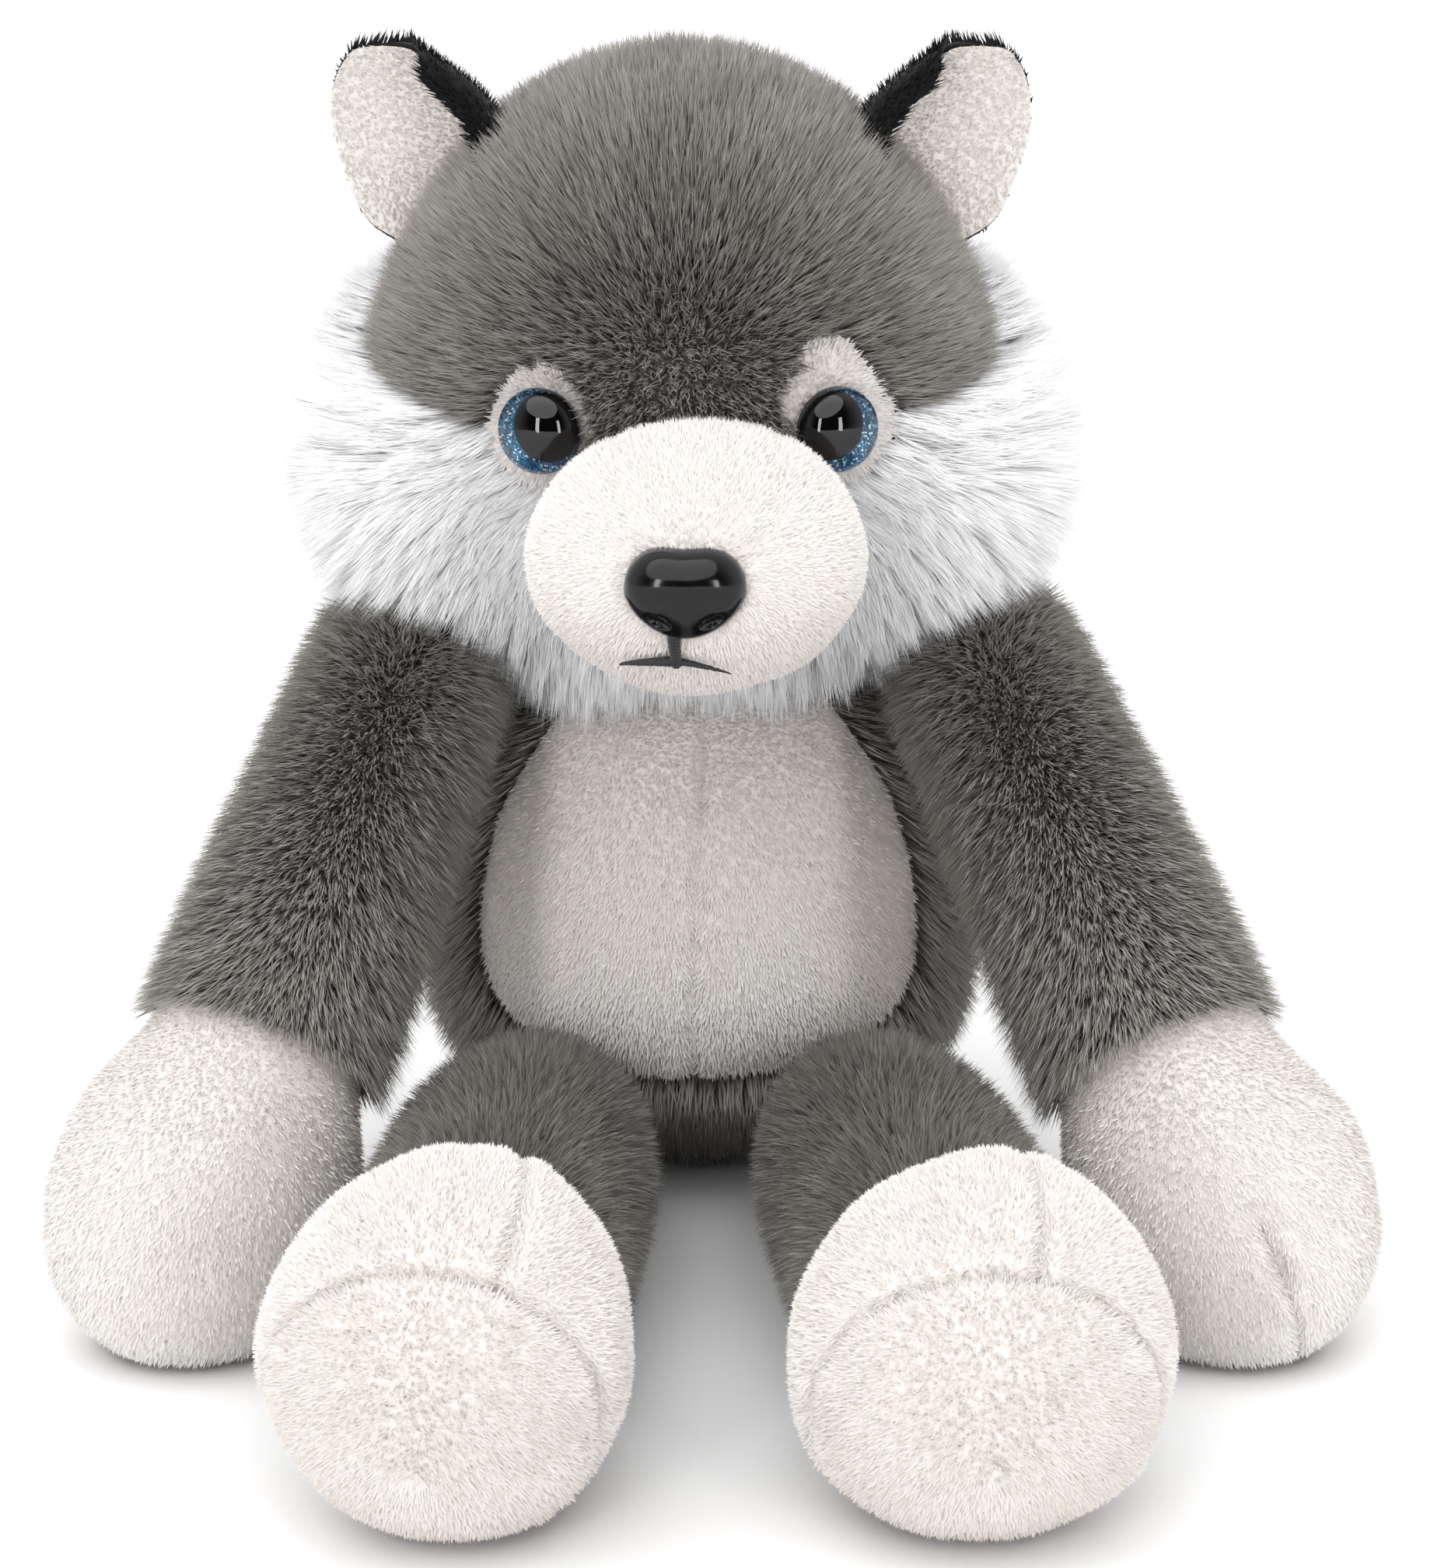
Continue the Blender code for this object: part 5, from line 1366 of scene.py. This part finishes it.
def stitch_tree():
    """Geometry Nodes: overlapping stitches along a path, as wide as its points say."""
    tree, given = new_tree("Stitches", (
        ("Stitch", "Object", None), ("Spacing", "Float", 1.0 * MM), ("Length", "Float", 2.0 * MM),
        ("Slant", "Float", 0.2), ("Seed", "Int", 0), ("Material", "Material", None)))
    curve = add_node(tree, "GeometryNodeMeshToCurve", {0: given["Geometry"]})
    marks = add_node(tree, "GeometryNodeResampleCurve", {"Curve": curve, "Length": given["Spacing"]},
                     mode="LENGTH")
    wide = add_node(tree, "GeometryNodeInputNamedAttribute", {"Name": "wide"}, data_type="FLOAT")
    away = add_node(tree, "FunctionNodeRandomValue", {0: (-1.0, -1.0, -1.0), 1: (1.0, 1.0, 1.0),
                                                      "Seed": given["Seed"]}, data_type="FLOAT_VECTOR")
    slant = add_node(tree, VECTORS, {0: away, "Scale": given["Slant"]}, operation="SCALE")
    along = add_node(tree, "GeometryNodeInputTangent")
    along = add_node(tree, VECTORS, {0: along, 1: slant}, operation="ADD")
    turn = add_node(tree, "FunctionNodeAlignRotationToVector", {"Vector": along}, axis="Z")
    size = add_node(tree, JOIN, {0: wide, 1: wide, 2: given["Length"]})
    thread = add_node(tree, "GeometryNodeObjectInfo", {"Object": given["Stitch"]})
    sewn = add_node(tree, "GeometryNodeInstanceOnPoints",
                    {"Points": marks, "Instance": thread.outputs["Geometry"], "Rotation": turn,
                     "Scale": size})
    solid = add_node(tree, "GeometryNodeRealizeInstances", {0: sewn})
    dressed = add_node(tree, "GeometryNodeSetMaterial", {"Geometry": solid, "Material": given["Material"]})
    add_node(tree, "NodeGroupOutput", {0: dressed})
    return tree


class HUSKY_OT_mouth(bpy.types.Operator):
    """Embroiders the mouth's stem and its two branches"""
    bl_idname = "husky.mouth"
    bl_label = "Mouth"

    def execute(self, context):
        x0 = MUZZLE_CENTRE.x + NOSE_SHIFT + MOUTH_SHIFT
        nose_foot = MUZZLE_CENTRE.z + NOSE_RISE - NOSE_HEIGHT / 2
        top, low = nose_foot - 0.2, nose_foot - 0.6 - MOUTH_STEM
        bm = bmesh.new()
        wide = bm.verts.layers.float.new("wide")
        for reach, drop, thick, fine in MOUTH_THREADS:
            last = None
            for share in spread(0.0, 1.0, 12):
                if reach:
                    spot = on_muzzle(x0 + reach * share, low - drop * share ** 1.6, SHORT_PILE + THREAD_LIFT)
                else:
                    spot = on_muzzle(x0 + 0.4 * share, mix(top, low - 0.4, share), SHORT_PILE + THREAD_LIFT)
                point = bm.verts.new(metres(spot))
                point[wide] = mix(thick, fine, share ** 1.3) * MM
                if last:
                    bm.edges.new((last, point))
                last = point
        mesh = bpy.data.meshes.new("mouth_path")
        bm.to_mesh(mesh)
        bm.free()
        stitch = new_object("stitch", stitch_mesh())
        mouth = new_object("mouth_embroidery", mesh)
        # Rayon thread: a dull black, with a soft shine along its twist of about 0.4 mm
        thread = fibre_material("Black rayon embroidery thread", "#060606", "#1d1d1e", 0.4, 0.5, 0.2,
                                Roughness=0.55, Sheen_Weight=0.2)
        sewing = mouth.modifiers.new("Stitches", "NODES")
        sewing.node_group = stitch_tree()
        settle(mouth, sewing, {"Stitch": stitch, "Spacing": 0.75 * MM, "Length": 2.1 * MM, "Slant": 0.28,
                               "Seed": 5, "Material": thread})
        bpy.data.objects.remove(stitch, do_unlink=True)
        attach(mouth, "root")
        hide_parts("mouth_stitches")
        return {"FINISHED"}


class HUSKY_OT_inside(bpy.types.Operator):
    """Gives the hidden stuffing and washers their materials"""
    bl_idname = "husky.inside"
    bl_label = "Stuffing and washers"

    def execute(self, context):
        # Polyester fibre filling: loose white fibres in soft lumps of about 4 mm
        fibre = fibre_material("Polyester fibre stuffing", "#d9d9dc", "#fbfbfc", 4.0, 1.0, 1.5, 8.0, 0.7,
                               Roughness=1.0, Sheen_Weight=0.4)
        # Nylon as moulded: a milky white with a dull gloss
        nylon = gloss_material("Moulded nylon washer", "#e8e6df", 0.4, 0.15)
        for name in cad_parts:
            if "stuffing" in name or "washer" in name:
                node = bpy.data.objects[name]
                node.data.materials.clear()
                node.data.materials.append(fibre if "stuffing" in name else nylon)
        return {"FINISHED"}


def add_light(name, kind, place, turn, **settings):
    light = bpy.data.lights.new(name, kind)
    for word, value in settings.items():
        setattr(light, word, value)
    lamp = bpy.data.objects.new(name, light)
    bpy.context.scene.collection.objects.link(lamp)
    lamp.location, lamp.rotation_euler = place, turn


class HUSKY_OT_stage(bpy.types.Operator):
    """Makes the pale floor, the soft lights and the photograph's camera"""
    bl_idname = "husky.stage"
    bl_label = "Stage"

    def execute(self, context):
        mesh = bpy.data.meshes.new("floor")
        corners = ((-1.0, -1.0), (1.0, -1.0), (1.0, 1.0), (-1.0, 1.0))
        mesh.from_pydata([(x * FLOOR_HALF, y * FLOOR_HALF, 0.0) for x, y in corners], [], [(0, 1, 2, 3)])
        floor = new_object("floor", mesh)
        # Studio paper: a matt white that only takes shadows
        paper, _, _ = start_material("Matt white paper sweep", Base_Color=linear("#fbfbfb"), Roughness=0.9)
        floor.data.materials.append(paper)
        world = bpy.data.worlds.new("Studio")
        world.use_nodes = True
        tree = world.node_tree
        sky = tree.nodes["Background"]
        sky.inputs[0].default_value = (1.0, 1.0, 1.0, 1.0)
        way = add_node(tree, "ShaderNodeTexCoord")
        front = add_node(tree, VECTORS, {0: way, 1: ROOM_FRONT}, operation="DOT_PRODUCT").outputs["Value"]
        dim = add_node(tree, "ShaderNodeMapRange", {0: front, 1: 0.2, 2: 0.75, 3: ROOM_LIGHT[0],
                                                    4: ROOM_LIGHT[1]})
        tree.links.new(dim.outputs[0], sky.inputs[1])
        context.scene.world = world
        add_light("Overhead", "SUN", (0.0, 0.0, 0.0), [math.radians(a) for a in SUN_TURN],
                  energy=SUN_STRENGTH, angle=math.radians(SUN_SOFTNESS))
        for name, place, power in BOXES:
            add_light(name, "AREA", place, (BOX_AIM - place).to_track_quat("-Z", "Y").to_euler(),
                      shape="RECTANGLE", energy=power, size=BOX_SIZE[0], size_y=BOX_SIZE[1])
        lens = bpy.data.cameras.new("Camera")
        lens.lens, lens.sensor_fit, lens.sensor_height = CAMERA_LENS, "VERTICAL", SENSOR_HEIGHT
        camera = bpy.data.objects.new("Camera", lens)
        context.scene.collection.objects.link(camera)
        camera.location = metres(CAMERA_PLACE)
        camera.rotation_euler = (math.radians(90.0 - CAMERA_DIP), 0.0, 0.0)
        context.scene.camera = camera
        context.scene.view_settings.view_transform = "Standard"
        return {"FINISHED"}


class HuskyPile(bpy.types.PropertyGroup):
    thickness: bpy.props.FloatProperty(name="Thickness", default=1.0, min=0.05, max=2.0, subtype="FACTOR",
                                       description="How thick the pile stands, 1 being the toy's own")


def hex_property(label, words, code):
    return bpy.props.StringProperty(name=label, description=words, default=code)


class HuskyColours(bpy.types.PropertyGroup):
    # Each root colour is partly the pile's own undercoat and partly painted shade deep in the pile
    grey_root: hex_property("Grey root", "Grey pile at the cloth", "#605c57")
    grey_dark: hex_property("Grey dark", "Darkest grey strands", "#827e78")
    grey_light: hex_property("Grey light", "Lightest grey strands", "#b9b5af")
    long_root: hex_property("Cheek root", "White long pile at the cloth", "#f6f6f7")
    long_dark: hex_property("Cheek dark", "Coolest white strands", "#f6f6f8")
    long_light: hex_property("Cheek light", "Lightest white strands", "#fcfcfc")
    short_root: hex_property("Short root", "White short pile at the cloth", "#e8e4e1")
    # Low tints of the short pile lean to this colour as painted shade: under the muzzle, on the soles, at the
    # belly's sides and in the ear folds
    short_dark: hex_property("Short dark", "Warmest short strands", "#ded6d0")
    short_light: hex_property("Short light", "Lightest short strands", "#f4f2f0")
    black_root: hex_property("Black root", "Black pile at the cloth", "#050505")
    black_dark: hex_property("Black dark", "Darkest black strands", "#0c0c0c")
    black_light: hex_property("Black light", "Lightest black strands", "#242424")


OPERATORS = (HUSKY_OT_stage, HUSKY_OT_head, HUSKY_OT_patches, HUSKY_OT_muzzle, HUSKY_OT_body, HUSKY_OT_arms,
             HUSKY_OT_legs, HUSKY_OT_tail, HUSKY_OT_ears, HUSKY_OT_eyes, HUSKY_OT_nose, HUSKY_OT_mouth,
             HUSKY_OT_inside)


class HUSKY_PT_panel(bpy.types.Panel):
    """Lists the pieces and what a user may change"""
    bl_label = "Plush husky"
    bl_idname = "HUSKY_PT_panel"
    bl_space_type = "VIEW_3D"
    bl_region_type = "UI"
    bl_category = "Husky"

    def draw(self, context):
        for group in (context.scene.husky_pile, context.scene.husky_colours):
            box = self.layout.box()
            for word in group.bl_rna.properties.keys():
                if word not in ("rna_type", "name"):
                    box.prop(group, word)
        for operator in OPERATORS:
            self.layout.operator(operator.bl_idname)


CLASSES = (HuskyPile, HuskyColours) + OPERATORS + (HUSKY_PT_panel,)


def register():
    for item in CLASSES:
        bpy.utils.register_class(item)
    bpy.types.Scene.husky_pile = bpy.props.PointerProperty(type=HuskyPile)
    bpy.types.Scene.husky_colours = bpy.props.PointerProperty(type=HuskyColours)


def unregister():
    del bpy.types.Scene.husky_pile
    del bpy.types.Scene.husky_colours
    for item in reversed(CLASSES):
        bpy.utils.unregister_class(item)


def main():
    register()
    for operator in OPERATORS:
        group, word = operator.bl_idname.split(".")
        getattr(getattr(bpy.ops, group), word)()


if __name__ == "__main__":
    main()
